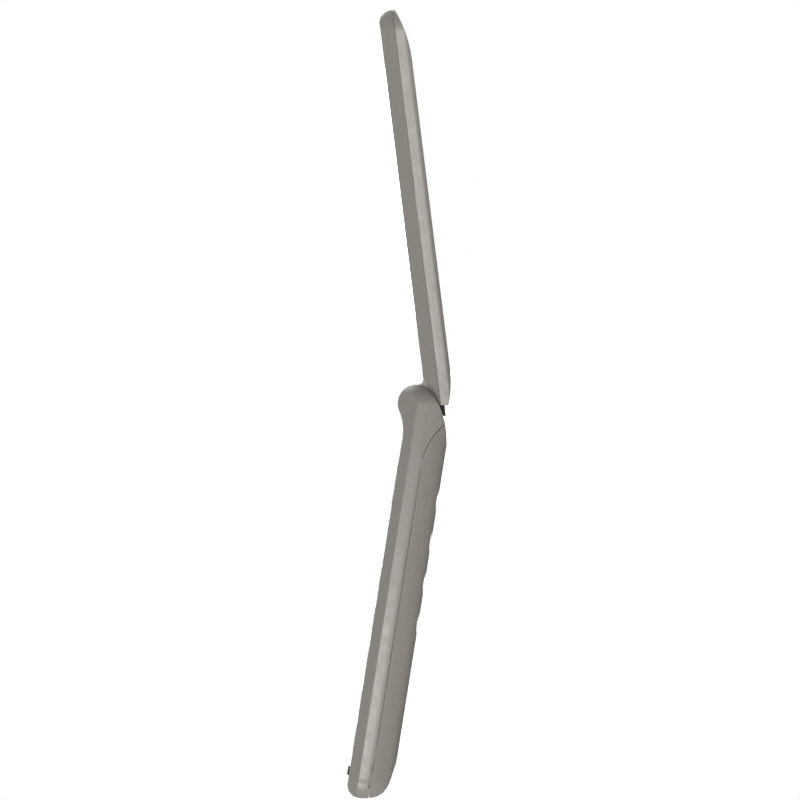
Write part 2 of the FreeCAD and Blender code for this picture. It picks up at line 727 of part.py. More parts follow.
def nav_ring():
    low = KEYPAD_INNER - NAV_TILT_ROOM - NAV_RING_THICK
    top = KEYPAD_UP + NAV_PROUD
    cap = disc(BASE, 0, NAV_S, NAV_R, low, top)
    flange = disc(BASE, 0, NAV_S, NAV_R + NAV_FLANGE, low, low + NAV_RING_THICK)
    ring = cap.fuse(flange).cut(disc(BASE, 0, NAV_S, NAV_INNER_R, low - EDGE, top + EDGE)).removeSplitter()
    return ring.makeFillet(KEY_EDGE_R, top_edges(ring, top))


def nav_pad():
    """The rubber pad that carries the ring: ribs to rock on, and four plungers."""
    ring_low = KEYPAD_INNER - NAV_TILT_ROOM - NAV_RING_THICK
    top = ring_low - NAV_PAD_ROOM
    low = top - NAV_PAD_ROOM
    pad = disc(BASE, 0, NAV_S, NAV_PAD_R, low, top)
    rib = block(BASE, -FIT_CLEAR * 6, FIT_CLEAR * 6, NAV_S - NAV_PAD_R + EDGE, NAV_S + NAV_PAD_R - EDGE,
                top, ring_low - SEAT_CLEAR)
    pieces = [rib]
    for turn in range(4):
        angle = math.radians(90 * turn)
        x = NAV_PLUNGER_AT * math.cos(angle)
        s = NAV_S + NAV_PLUNGER_AT * math.sin(angle)
        pieces.append(disc(BASE, x, s, NAV_PLUNGER_R, DOME_TOP + NAV_PAD_ROOM + SEAT_CLEAR, low))
    pad = pad.fuse(pieces)
    return pad.cut(disc(BASE, 0, NAV_S, NAV_PAD_INNER_R, low - EDGE, ring_low)).removeSplitter()


def ok_key():
    top = KEYPAD_UP + NAV_PROUD
    cap = disc(BASE, 0, NAV_S, OK_R, PLUNGER_LOW, top)
    return cap.makeFillet(KEY_EDGE_R, top_edges(cap, top))


def dome_places():
    places = [(x, s) for _, x, s in key_places()]
    for sign in (-1, 1):
        middle = sign * (SOFT_INNER_X + SOFT_OUTER_X) / 2 + sign * PLUNGER_R
        places.append((middle, (SOFT_START + SOFT_END) / 2 - PLUNGER_R))
        places.append((sign * NAV_PLUNGER_AT, NAV_S))
        places.append((0, NAV_S + sign * NAV_PLUNGER_AT))
    places.append((0, NAV_S))
    return places


def dome_sheet():
    sheet = plate(BASE, -SOFT_OUTER_X, SOFT_OUTER_X, SOFT_START, KEY_ROW_LAST + KEY_LONG / 2,
                  BOARD_TOP, BOARD_TOP + SHEET_THICK, KEY_CORNER)
    for x, s in dome_places():
        rise = Part.makeCone(DOME_R, DOME_R / 2, DOME_HIGH, at(BASE, x, s, BOARD_TOP + SHEET_THICK), Vector(0, 0, 1))
        sheet = sheet.fuse(rise)
    return sheet.cut(connector_body(FIT_CLEAR))


def grips():
    """The thumb grips, as the shapes that they cut out of the back."""
    radius = (GRIP_LONG ** 2 / 4 + GRIP_DEEP ** 2) / (2 * GRIP_DEEP)
    cutters = []
    for i in range(GRIP_COUNT):
        s = GRIP_FIRST + GRIP_LONG / 2 + i * GRIP_PITCH
        cutters.append(rod(BASE, -HALF - EDGE, HALF + EDGE, s, -BACK_DOWN + GRIP_DEEP - radius, radius))
    return cutters


def stop_block(sign, grow):
    """A rubber stop behind the hinge; its underside slopes like the open lid's end above it."""
    x0, x1 = sorted((sign * (EAR_INNER + EDGE), sign * (EAR_INNER + EDGE + STOP_WIDE)))
    face = polygon(BASE, [(STOP_START, -STOP_BURIED), (STOP_START, -STOP_DOWN_START), (STOP_END, -STOP_DOWN_END),
                          (STOP_END, -STOP_BURIED)])
    if grow > 0:
        face = face.makeOffset2D(grow)
    return across(face, x0 - grow, x1 + grow)


def bumper_block(sign, grow):
    x = sign * BUMPER_X
    return plate(BASE, x - BUMPER_WIDE / 2 - grow, x + BUMPER_WIDE / 2 + grow, BUMPER_S - BUMPER_LONG / 2 - grow,
                 BUMPER_S + BUMPER_LONG / 2 + grow, KEYPAD_UP - BUMPER_BURIED - grow, KEYPAD_UP + BUMPER_PROUD,
                 BUMPER_LONG / 2 - FIT_CLEAR)


def cam_head(grow):
    head = rod(BASE, EAR_INNER, EAR_INNER + CAM_IN_EAR + grow, 0, 0, CAM_HEAD_R + grow)
    flats = block(BASE, EAR_INNER - EDGE, EAR_INNER + CAM_IN_EAR + EDGE, -CAM_HEAD_R - EDGE, CAM_HEAD_R + EDGE,
                  -CAM_FLATS / 2 - grow, CAM_FLATS / 2 + grow)
    return head.common(flats)


def front_housing(outer, inner):
    cradle = rod(BASE, -HALF - EDGE, HALF + EDGE, 0, 0, CRADLE_R)
    shell = outer.cut(inner.cut(cradle)).cut(behind_seam(SEAM_GAP / 2))
    add = []
    for x, s in BASE_SCREWS:
        add.append(disc(BASE, x, s, BOSS_R, -SEAM_DOWN + BOSS_GAP, KEYPAD_INNER + SEAT_CLEAR).common(inner))
    shell = shell.fuse(add)
    cuts = []
    # room for the lid's knuckle and for the web that joins it to the lid
    cuts.append(rod(BASE, -EAR_INNER, EAR_INNER, 0, 0, POCKET_R))
    web = rod(BASE, -EAR_INNER, EAR_INNER, 0, 0, math.hypot(BARREL_R + WEB_R, LID_INNER_DOWN) + SWING_CLEAR / 2)
    cuts.append(web.common(block(BASE, -HALF, HALF, 0, NECK_END, SWING_CLEAR, FAR)))
    cuts.append(block(BASE, -EAR_INNER, EAR_INNER, -FAR, CRADLE_END, -FAR, FAR))
    # hinge bores: the cam's socket in the right ear, the bush and the flex channel in the left one
    cuts.append(cam_head(SEAT_CLEAR))
    cuts.append(rod(BASE, -EAR_INNER - BUSH_IN_EAR - FLEX_POCKET, -EAR_INNER + EDGE, 0, 0, BUSH_R + BEARING_CLEAR))
    cuts.append(block(BASE, -EAR_INNER - BUSH_IN_EAR - FLEX_POCKET, -EAR_INNER - BUSH_IN_EAR, 0, CRADLE_R + EDGE,
                      -FLEX_CORE_R - FIT_CLEAR, FLEX_CORE_R))
    cuts += both_sides(lambda sign: stop_block(sign, SEAT_CLEAR))
    cuts += both_sides(lambda sign: bumper_block(sign, SEAT_CLEAR))
    # key openings
    for _, x, s in key_places():
        cuts.append(key_cap(x - KEY_WIDE / 2, x + KEY_WIDE / 2, s - KEY_LONG / 2, s + KEY_LONG / 2, KEY_CLEAR,
                            KEYPAD_INNER - EDGE / 2, KEYPAD_UP + EDGE))
    for sign in (-1, 1):
        cuts.append(soft_shape(sign, KEY_CLEAR, KEYPAD_INNER - EDGE / 2, KEYPAD_UP + EDGE))
    cuts.append(disc(BASE, 0, NAV_S, NAV_R + KEY_CLEAR, KEYPAD_INNER - EDGE / 2, KEYPAD_UP + EDGE))
    cuts.append(disc(BASE, 0, MIC_S, MIC_HOLE_R, KEYPAD_INNER - EDGE / 2, KEYPAD_UP + EDGE))
    # left side: rocker opening, cover recess and port
    cuts.append(block(BASE, -HALF - EDGE, -HALF + BASE_WALL + EDGE, ROCKER_S - ROCKER_LONG / 2 - KEY_CLEAR,
                      ROCKER_S + ROCKER_LONG / 2 + KEY_CLEAR, -ROCKER_MID - ROCKER_HIGH / 2 - KEY_CLEAR,
                      -ROCKER_MID + ROCKER_HIGH / 2 + KEY_CLEAR))
    cuts.append(cover_plate(KEY_CLEAR))
    cuts.append(block(BASE, -HALF - EDGE, -HALF + BASE_WALL + EDGE, PORT_S - PORT_LONG / 2, PORT_S + PORT_LONG / 2,
                      -PORT_MID - PORT_HIGH / 2, -PORT_MID + PORT_HIGH / 2))
    # fine notch beside the seam, round the right corner of the foot
    ring = base_hull(0, False).cut(base_hull(NOTCH_DEEP, False))
    cuts.append(ring.common(block(BASE, 0, FAR, NOTCH_START, NOTCH_END, -SEAM_DOWN, -SEAM_DOWN + NOTCH_HIGH)))
    for x, s in BASE_SCREWS:
        cuts.append(disc(BASE, x, s, SCREW_R + SEAT_CLEAR, -SEAM_DOWN - EDGE, KEYPAD_INNER - FIT_CLEAR))
    return shell.cut(cuts)


def cover_plate(grow):
    s0, s1 = PORT_S - COVER_LONG / 2 - grow, PORT_S + COVER_LONG / 2 + grow
    z0, z1 = -PORT_MID - COVER_HIGH / 2 - grow / 2, -PORT_MID + COVER_HIGH / 2 + grow / 2
    out = EDGE if grow > 0 else 0
    return block(BASE, -HALF - out, -HALF + COVER_THICK + grow / 2, s0, s1, z0, z1)


def port_cover():
    """The cover's hinge end is round about its pivot, so that it turns inside its recess."""
    cover = cover_plate(0)
    corner = [e for e in cover.Edges
              if e.BoundBox.ZLength > COVER_HIGH / 2 and abs(e.BoundBox.YMin + PORT_S + COVER_LONG / 2) < 1e-4]
    cover = cover.makeFillet(COVER_THICK / 2 - SEAT_CLEAR, corner)
    return cover


def rear_housing(outer, inner):
    shell = outer.cut(inner).common(behind_seam(-SEAM_GAP / 2))
    wall_x = HALF - BASE_WALL
    add = []
    for sign in (-1, 1):
        low_x, high_x = sorted((sign * (wall_x - LIP_THICK), sign * (wall_x + FIT_CLEAR)))
        add.append(block(BASE, low_x, high_x, DOOR_START, DOOR_END, -SEAM_DOWN - LIP_HIGH, -SEAM_DOWN - SEAM_GAP / 2))
        low_x, high_x = sorted((sign * (wall_x - LIP_THICK), sign * (wall_x - LIP_CLEAR)))
        add.append(block(BASE, low_x, high_x, DOOR_START, DOOR_END, -SEAM_DOWN - LIP_HIGH, -SEAM_DOWN + LIP_HIGH))
    deck = block(BASE, -DOOR_HALF - EDGE, DOOR_HALF + EDGE, DOOR_START - EDGE, DOOR_END + EDGE,
                 -BACK_DOWN + EDGE / 2, DECK_TOP)
    add.append(deck)
    add.append(plate(BASE, -WELL_HALF - WELL_WALL, WELL_HALF + WELL_WALL, WELL_START - WELL_WALL,
                     WELL_END + WELL_WALL, DECK_LOW, WELL_FLOOR_TOP, EDGE))
    for x, s in BASE_SCREWS:
        boss = disc(BASE, x, s, BOSS_R, -BACK_DOWN + EDGE / 2, -SEAM_DOWN - BOSS_GAP)
        add.append(boss.common(outer).common(behind_seam(-SEAM_GAP / 2)))
    shell = shell.fuse(add)
    cuts = []
    cuts.append(plate(BASE, -DOOR_HALF - DOOR_GAP, DOOR_HALF + DOOR_GAP, DOOR_START - DOOR_GAP, DOOR_END + DOOR_GAP,
                      -BACK_DOWN - EDGE, DECK_LOW, DOOR_CORNER))
    well = plate(BASE, -WELL_HALF, WELL_HALF, BATTERY_START - WELL_CLEAR, WELL_END, DECK_LOW - EDGE, WELL_TOP, EDGE)
    cuts.append(well)
    cuts.append(plate(BASE, -WELL_HALF, WELL_HALF, WELL_START, BATTERY_START - WELL_CLEAR - WELL_WALL,
                      DECK_LOW - EDGE, WELL_TOP, EDGE))
    cuts.append(block(BASE, -SOCKET_HALF - FIT_CLEAR, SOCKET_HALF + FIT_CLEAR, SOCKET_START - FIT_CLEAR,
                      SOCKET_END + FIT_CLEAR, WELL_TOP - EDGE, WELL_FLOOR_TOP + EDGE))
    cuts.append(contact_block(FIT_CLEAR))
    cuts.append(connector_body(SWING_CLEAR))
    cuts.append(block(BASE, -HALF + BASE_WALL, -HALF + BASE_WALL + ROCKER_ROOM * 3,
                      ROCKER_S - ROCKER_LONG / 2 - ROCKER_FLANGE * 2, ROCKER_S + ROCKER_LONG / 2 + ROCKER_FLANGE * 2,
                      -ROCKER_MID - ROCKER_HIGH / 2 - SWING_CLEAR, 0))
    for sign in (-1, 1):
        for s in (DOOR_START, DOOR_END - TAB_WIDE):
            cuts.append(door_tab(sign, s, FIT_CLEAR))
    cuts += grips()
    for i in range(SLOT_COUNT):
        s = SPEAKER_START + EDGE + i * SLOT_PITCH
        cuts.append(block(BASE, -SLOT_WIDE / 2, SLOT_WIDE / 2, s, s + SLOT_LONG, -BACK_DOWN - EDGE,
                          -BACK_DOWN + BASE_WALL + EDGE))
    for x, s in BASE_SCREWS:
        head_low = screw_head_low(s)
        cuts.append(disc(BASE, x, s, SCREW_R + FIT_CLEAR, -FAR, 0))
        cuts.append(disc(BASE, x, s, SCREW_HEAD_R + FIT_CLEAR, -FAR, head_low + SCREW_HEAD_HIGH + SEAT_CLEAR))
    return shell.cut(cuts)


def screw_head_low(s):
    """Height of a base screw's head: the heel rises, so the heads near the foot sit higher."""
    past = max(0.0, s + SCREW_HEAD_R - HEEL_SWEEP_START)
    rise = HEEL_SWEEP_R - math.sqrt(HEEL_SWEEP_R ** 2 - past ** 2)
    return -BACK_DOWN + SCREW_SUNK + rise


def door_tab(sign, s, grow):
    """A tab of the door that stands in a slot of the deck."""
    x0, x1 = sorted((sign * (DOOR_HALF - DOOR_CORNER), sign * (DOOR_HALF - DOOR_CORNER - TAB_WIDE)))
    s0 = s + EDGE / 4 if s < SEAM_BEND_S + DOOR_CORNER else s + TAB_WIDE - TAB_THICK - EDGE / 4
    return block(BASE, x0 - grow, x1 + grow, s0 - grow, s0 + TAB_THICK + grow, DOOR_TOP - FIT_CLEAR,
                 DECK_LOW + TAB_HIGH + grow)


def battery_door():
    door = plate(BASE, -DOOR_HALF, DOOR_HALF, DOOR_START, DOOR_END, -BACK_DOWN, DOOR_TOP, DOOR_CORNER - DOOR_GAP)
    tabs = []
    for sign in (-1, 1):
        for s in (DOOR_START, DOOR_END - TAB_WIDE):
            tabs.append(door_tab(sign, s, 0))
    return door.fuse(tabs).cut(grips())


def battery_pack():
    return plate(BASE, -BATTERY_HALF, BATTERY_HALF, BATTERY_START, BATTERY_END, BATTERY_LOW, BATTERY_TOP, EDGE)


def contact_block(grow):
    end = BATTERY_START - WELL_CLEAR
    return block(BASE, -CONTACT_WIDE / 2 - grow, CONTACT_WIDE / 2 + grow, end - CONTACT_LONG - grow, end,
                 BOARD_LOW - CONTACT_HIGH - grow, BOARD_LOW)


def battery_contacts():
    pieces = [contact_block(0)]
    pitch = CONTACT_WIDE / CONTACT_COUNT
    end = BATTERY_START - WELL_CLEAR
    for i in range(CONTACT_COUNT):
        x = (i - (CONTACT_COUNT - 1) / 2) * pitch
        pieces.append(block(BASE, x - pitch / 4, x + pitch / 4, end - EDGE / 2, BATTERY_START - SEAT_CLEAR,
                            BOARD_LOW - CONTACT_HIGH + EDGE / 4, BATTERY_TOP - EDGE / 4))
    return pieces[0].fuse(pieces[1:])


def main_board():
    reach = HALF - BASE_WALL - BOARD_EDGE
    board = Part.Face(plan_wire(BASE, reach, BOARD_START, BOARD_END, FOOT_CORNER_R, BOARD_LOW))
    board = board.extrude(Vector(0, 0, BOARD_THICK))
    for x, s in BASE_SCREWS:
        board = board.cut(disc(BASE, x, s, BOSS_R + BOSS_GAP, BOARD_LOW - EDGE, BOARD_TOP + EDGE))
    return board.cut(connector_body(FIT_CLEAR))


def connector_body(grow):
    x0 = -HALF + BASE_WALL + FIT_CLEAR
    return block(BASE, x0 - grow, x0 + CONNECTOR_DEEP + grow, PORT_S - PORT_LONG / 2 - EDGE / 2 - grow,
                 PORT_S + PORT_LONG / 2 + EDGE / 2 + grow, -PORT_MID - PORT_HIGH / 2 - FIT_CLEAR,
                 -PORT_MID + PORT_HIGH / 2 + FIT_CLEAR)


def charge_connector():
    """A metal mouth with a tongue, and feet on the board."""
    x0 = -HALF + BASE_WALL + FIT_CLEAR
    wall = FIT_CLEAR * 3
    mouth = block(BASE, x0 - EDGE, x0 + CONNECTOR_DEEP - wall, PORT_S - PORT_LONG / 2, PORT_S + PORT_LONG / 2,
                  -PORT_MID - PORT_HIGH / 2 + wall, -PORT_MID + PORT_HIGH / 2 - wall)
    tongue = block(BASE, x0 + EDGE / 2, x0 + CONNECTOR_DEEP, PORT_S - PORT_LONG / 3, PORT_S + PORT_LONG / 3,
                   -PORT_MID - wall, -PORT_MID + wall)
    return connector_body(0).cut(mouth).fuse(tongue)


def shield_cans():
    """Two sheet-metal cans under the board, between the board and the floor of the battery well."""
    sheet = FIT_CLEAR * 2
    low = WELL_FLOOR_TOP + SEAT_CLEAR
    middle = (BATTERY_START + BATTERY_END) / 2
    cans = []
    for s0, s1 in ((BATTERY_START + EDGE, middle - EDGE), (middle + EDGE, BATTERY_END - EDGE)):
        can = plate(BASE, -BATTERY_HALF + EDGE, BATTERY_HALF - EDGE, s0, s1, low, BOARD_LOW, EDGE / 2)
        cans.append(can.cut(block(BASE, -BATTERY_HALF + EDGE + sheet, BATTERY_HALF - EDGE - sheet, s0 + sheet,
                                  s1 - sheet, low + sheet, BOARD_LOW + EDGE)))
    return group(cans)


def card_socket():
    frame = block(BASE, -SOCKET_HALF, SOCKET_HALF, SOCKET_START, SOCKET_END, BOARD_LOW - SOCKET_THICK, BOARD_LOW)
    slot = block(BASE, -SOCKET_HALF + EDGE, SOCKET_HALF - EDGE, SOCKET_START + EDGE, SOCKET_END + EDGE,
                 BOARD_LOW - SOCKET_THICK + FIT_CLEAR * 3, BOARD_LOW - SOCKET_THICK / 3)
    view = block(BASE, -SOCKET_HALF / 2, SOCKET_HALF / 2, SOCKET_START + EDGE * 3, SOCKET_END + EDGE,
                 BOARD_LOW - SOCKET_THICK - EDGE, BOARD_LOW - SOCKET_THICK / 3)
    return frame.cut([slot, view])


def loudspeaker():
    low = -SPEAKER_DOWN
    case = plate(BASE, -SPEAKER_WIDE / 2, SPEAKER_WIDE / 2, SPEAKER_START, SPEAKER_START + SPEAKER_LONG, low,
                 low + SPEAKER_THICK, EDGE)
    dish = plate(BASE, -SPEAKER_WIDE / 2 + EDGE, SPEAKER_WIDE / 2 - EDGE, SPEAKER_START + EDGE / 2,
                 SPEAKER_START + SPEAKER_LONG - EDGE / 2, low - EDGE, low + FIT_CLEAR * 3, EDGE)
    return case.cut(dish)


def vibration_motor():
    x = HALF - BASE_WALL - MOTOR_R - MOTOR_FROM_WALL
    z = DECK_TOP + SEAT_CLEAR + MOTOR_R
    spin = Vector(0, -1, 0)
    can = Part.makeCylinder(MOTOR_R, MOTOR_LONG, at(BASE, x, MOTOR_START, z), spin)
    shaft = Part.makeCylinder(SCREW_R / 2, EDGE, at(BASE, x, MOTOR_START + MOTOR_LONG, z), spin)
    weight = Part.makeCylinder(MOTOR_R - FIT_CLEAR, EDGE * 3, at(BASE, x, MOTOR_START + MOTOR_LONG + EDGE, z), spin)
    half_cut = block(BASE, x - MOTOR_R, x + MOTOR_R, MOTOR_START + MOTOR_LONG + EDGE / 2,
                     MOTOR_START + MOTOR_LONG + EDGE * 5, z + SCREW_R / 2, z + MOTOR_R)
    return can.fuse([shaft, weight.cut(half_cut)])


def microphone():
    return disc(BASE, 0, MIC_S, MIC_R, BOARD_TOP, BOARD_TOP + MIC_HIGH)


def antenna():
    carrier = block(BASE, ANTENNA_X0, ANTENNA_X1, ANTENNA_START, ANTENNA_END, BOARD_TOP, BOARD_TOP + ANTENNA_HIGH)
    hollow = block(BASE, ANTENNA_X0 + EDGE, ANTENNA_X1 - EDGE, ANTENNA_START + EDGE, ANTENNA_END + EDGE,
                   BOARD_TOP + EDGE / 2, BOARD_TOP + ANTENNA_HIGH - EDGE / 2)
    return carrier.cut(hollow)


def screw(half, x, s, head_low, direction, long):
    """A cross-head screw; direction is the way its shank points."""
    z_dir = Vector(0, 0, direction)
    head = Part.makeCylinder(SCREW_HEAD_R, SCREW_HEAD_HIGH, at(half, x, s, head_low), z_dir)
    shank = Part.makeCylinder(SCREW_R, long, at(half, x, s, head_low), z_dir)
    slot = SCREW_R / 4
    cross = []
    for wide, tall in ((SCREW_R, slot), (slot, SCREW_R)):
        z0, z1 = sorted((head_low - direction * EDGE, head_low + direction * SCREW_HEAD_HIGH / 2))
        cross.append(block(half, x - wide, x + wide, s - tall, s + tall, z0, z1))
    return head.fuse(shank).cut(cross)


def housing_screws():
    solids = []
    for x, s in BASE_SCREWS:
        low = screw_head_low(s)
        solids.append(screw(BASE, x, s, low, 1, KEYPAD_INNER - EDGE - low))
    return group(solids)


def hinge_cam():
    shaft = rod(BASE, EAR_INNER - CAM_IN_CARTRIDGE, EAR_INNER + EDGE, 0, 0, CAM_SHAFT_R)
    return cam_head(0).fuse(shaft).removeSplitter()


def hinge_bush():
    start = -EAR_INNER - BUSH_IN_EAR
    long_end = -EAR_INNER + BUSH_IN_KNUCKLE
    tube = rod(BASE, start, long_end, 0, 0, BUSH_R)
    return tube.cut(rod(BASE, start - EDGE, long_end + EDGE, 0, 0, BUSH_BORE_R))


def base_flex():
    """The flex from the left ear to the board: rolled at the axis, then flat."""
    x0 = -EAR_INNER - BUSH_IN_EAR - FLEX_POCKET + FIT_CLEAR
    x1 = -EAR_INNER - BUSH_IN_EAR - FIT_CLEAR
    roll = rod(BASE, x0, x1 + FIT_CLEAR, 0, 0, FLEX_CORE_R - FIT_CLEAR)
    line = [(0, -FLEX_THICK / 2), (NECK_END, -FLEX_THICK / 2), (BOARD_START + EDGE, BOARD_TOP + FLEX_THICK / 2),
            (BOARD_START + EDGE * 4, BOARD_TOP + FLEX_THICK / 2)]
    run = strip(BASE, line, -FLEX_THICK / 2, FLEX_THICK / 2)
    return roll.fuse(across(run, x0 + FLEX_THICK, x1 - FLEX_THICK))


def volume_rocker():
    z0, z1 = -ROCKER_MID - ROCKER_HIGH / 2, -ROCKER_MID + ROCKER_HIGH / 2
    inner_x = -HALF + BASE_WALL + ROCKER_ROOM
    cap = block(BASE, -HALF - ROCKER_PROUD, inner_x, ROCKER_S - ROCKER_LONG / 2, ROCKER_S + ROCKER_LONG / 2, z0, z1)
    ends = [e for e in cap.Edges if e.BoundBox.ZLength > ROCKER_HIGH / 2 and e.BoundBox.XMin < -HALF]
    cap = cap.makeFillet(ROCKER_PROUD, ends)
    flange = block(BASE, inner_x, inner_x + ROCKER_FLANGE, ROCKER_S - ROCKER_LONG / 2 - ROCKER_FLANGE,
                   ROCKER_S + ROCKER_LONG / 2 + ROCKER_FLANGE, z0 + FIT_CLEAR, z1 - FIT_CLEAR)
    return cap.fuse(flange).removeSplitter()


def knuckle_body():
    """The lid's middle barrel and the web that joins it to the inner housing, above the lid's seam."""
    web_z = -LID_INNER_DOWN + WEB_R
    web = (math.sqrt((BARREL_R + WEB_R) ** 2 - web_z ** 2), web_z)
    seam = -LID_SEAM_DOWN + LID_SEAM_GAP / 2
    foot = (-LID_END, seam)
    touch = angle_of((-LID_END, -math.sqrt(BARREL_R ** 2 - LID_END ** 2)), (0, 0))
    face = close_outline([
        arc(LID, web, WEB_R, 180 + angle_of(web, (0, 0)), 270),
        Part.LineSegment(at(LID, 0, CRADLE_R + EDGE, -LID_INNER_DOWN), at(LID, 0, CRADLE_R + EDGE, seam)).toShape(),
        Part.LineSegment(at(LID, 0, CRADLE_R + EDGE, seam), at(LID, 0, foot[0], foot[1])).toShape(),
        arc(LID, (0, 0), BARREL_R, touch, angle_of(web, (0, 0)) - 360),
    ])
    return across(face, -KNUCKLE_HALF, KNUCKLE_HALF)


def lid_inner_housing(outer, inner):
    above = block(LID, -HALF - EDGE, HALF + EDGE, -FAR, FAR, -LID_SEAM_DOWN + LID_SEAM_GAP / 2, FAR)
    shell = outer.cut(inner).common(above).fuse(knuckle_body())
    add = []
    for x, s in LID_SCREWS:
        tube = disc(LID, x, s, PLUG_R + LID_WALL, LID_INNER_WALL - EDGE, LID_INNER_WALL + SEAT_CLEAR)
        add.append(tube.common(outer))
    shell = shell.fuse(add)
    cuts = []
    cuts.append(rod(LID, KNUCKLE_HALF - CARTRIDGE_LONG - SEAT_CLEAR, KNUCKLE_HALF + EDGE, 0, 0,
                    CARTRIDGE_R + SEAT_CLEAR))
    wrap_end = WRAP_END + FIT_CLEAR
    cuts.append(rod(LID, -KNUCKLE_HALF - EDGE, wrap_end, 0, 0, BUSH_R + BEARING_CLEAR))
    channel = strip(LID, lid_flex_line(), -FLEX_THICK / 2 - FIT_CLEAR, FLEX_THICK / 2 + FIT_CLEAR)
    cuts.append(across(channel, wrap_end - FLEX_WIDE - FIT_CLEAR * 2, wrap_end))
    cuts.append(plate(LID, -WINDOW_HALF - SEAT_CLEAR, WINDOW_HALF + SEAT_CLEAR, WINDOW_START - SEAT_CLEAR,
                      WINDOW_END + SEAT_CLEAR, -LID_INNER_DOWN - WINDOW_THICK - SEAT_CLEAR, -LID_INNER_DOWN + EDGE,
                      WINDOW_CORNER))
    cuts.append(block(LID, -VIEW_HALF, VIEW_HALF, VIEW_START, VIEW_END, LID_INNER_WALL - EDGE, 0))
    for i in range(EAR_SLOT_COUNT):
        s = EARPIECE_S + (i - (EAR_SLOT_COUNT - 1) / 2) * EAR_SLOT_PITCH
        cuts.append(block(LID, -EAR_SLOT_HALF, EAR_SLOT_HALF, s - EAR_SLOT_LONG / 2, s + EAR_SLOT_LONG / 2,
                          LID_INNER_WALL - EDGE, 0))
    for x, s in LID_SCREWS:
        cuts.append(disc(LID, x, s, PLUG_R + SEAT_CLEAR, LID_INNER_WALL + SEAT_CLEAR, 0))
        cuts.append(disc(LID, x, s, SCREW_HEAD_R + FIT_CLEAR, LID_INNER_WALL - EDGE / 2, 0))
        cuts.append(disc(LID, x, s, SCREW_R + FIT_CLEAR, -FAR, 0))
    # seats for the rubber bumpers of the base
    for sign in (-1, 1):
        x = sign * BUMPER_X
        cuts.append(plate(LID, x - BUMPER_WIDE / 2 - SWING_CLEAR, x + BUMPER_WIDE / 2 + SWING_CLEAR,
                          BUMPER_S - BUMPER_LONG / 2 - SWING_CLEAR, BUMPER_S + BUMPER_LONG / 2 + SWING_CLEAR,
                          -LID_INNER_DOWN - BUMPER_PROUD + CLOSED_GAP - FIT_CLEAR, 0, BUMPER_LONG / 2))
    return shell.cut(cuts)


def lid_outer_housing(outer, inner):
    below = block(LID, -HALF - EDGE, HALF + EDGE, -FAR, FAR, -FAR, -LID_SEAM_DOWN - LID_SEAM_GAP / 2)
    shell = outer.cut(inner).common(below)
    add = []
    for x, s in LID_SCREWS:
        top = LID_INNER_WALL - EDGE - SEAT_CLEAR
        add.append(disc(LID, x, s, BOSS_R, LID_OUTER_WALL - SEAT_CLEAR, top).common(inner))
    shell = shell.fuse(add)
    cuts = []
    low = -LID_OUTER_DOWN
    cuts.append(plate(LID, -OUTER_WINDOW_HALF - SEAT_CLEAR, OUTER_WINDOW_HALF + SEAT_CLEAR,
                      OUTER_WINDOW_START - SEAT_CLEAR, OUTER_WINDOW_END + SEAT_CLEAR, low - EDGE,
                      low + OUTER_WINDOW_THICK + SEAT_CLEAR, WINDOW_CORNER))
    cuts.append(block(LID, -OUTER_WINDOW_HALF + OUTER_VIEW_EDGE, OUTER_WINDOW_HALF - OUTER_VIEW_EDGE,
                      OUTER_WINDOW_START + OUTER_VIEW_EDGE, OUTER_WINDOW_END - OUTER_VIEW_EDGE, low - EDGE,
                      LID_OUTER_WALL + EDGE / 2))
    cuts.append(disc(LID, 0, CAMERA_S, CAMERA_RING_R + SEAT_CLEAR, low - EDGE, low + CAMERA_RING_THICK + SEAT_CLEAR))
    cuts.append(disc(LID, 0, CAMERA_S, CAMERA_WINDOW_R, low - EDGE, LID_OUTER_WALL + EDGE / 2))
    for x, s in LID_SCREWS:
        cuts.append(disc(LID, x, s, SCREW_R + SEAT_CLEAR, LID_OUTER_WALL + SEAT_CLEAR, 0))
    return shell.cut(cuts)


def main_window():
    return plate(LID, -WINDOW_HALF, WINDOW_HALF, WINDOW_START, WINDOW_END, -LID_INNER_DOWN - WINDOW_THICK,
                 -LID_INNER_DOWN, WINDOW_CORNER)


def main_display():
    return plate(LID, -DISPLAY_HALF, DISPLAY_HALF, DISPLAY_START, DISPLAY_END, DISPLAY_LOW, DISPLAY_TOP, EDGE / 2)


def display_chassis():
    """A pressed plate under the display, with a low rim round it."""
    low = CHASSIS_LOW
    pan = plate(LID, -CHASSIS_HALF, CHASSIS_HALF, WINDOW_START, WINDOW_END, low, low + CHASSIS_THICK, EDGE)
    rim = plate(LID, -DISPLAY_HALF - EDGE, DISPLAY_HALF + EDGE, DISPLAY_START - EDGE, DISPLAY_END + EDGE, low,
                DISPLAY_TOP, EDGE)
    room = block(LID, -DISPLAY_HALF - FIT_CLEAR, DISPLAY_HALF + FIT_CLEAR, DISPLAY_START - FIT_CLEAR,
                 DISPLAY_END + FIT_CLEAR, low + CHASSIS_THICK, DISPLAY_TOP + EDGE)
    return pan.fuse(rim).cut(room)


def lid_board():
    return plate(LID, -LID_BOARD_HALF, LID_BOARD_HALF, LID_BOARD_START, LID_BOARD_END, LID_BOARD_LOW,
                 LID_BOARD_TOP, EDGE)


def outer_display():
    top = LID_BOARD_LOW - SEAT_CLEAR
    edge = OUTER_VIEW_EDGE - EDGE
    return plate(LID, -OUTER_WINDOW_HALF + edge, OUTER_WINDOW_HALF - edge, OUTER_WINDOW_START + edge,
                 OUTER_WINDOW_END - edge, top - OUTER_DISPLAY_THICK, top, EDGE / 2)


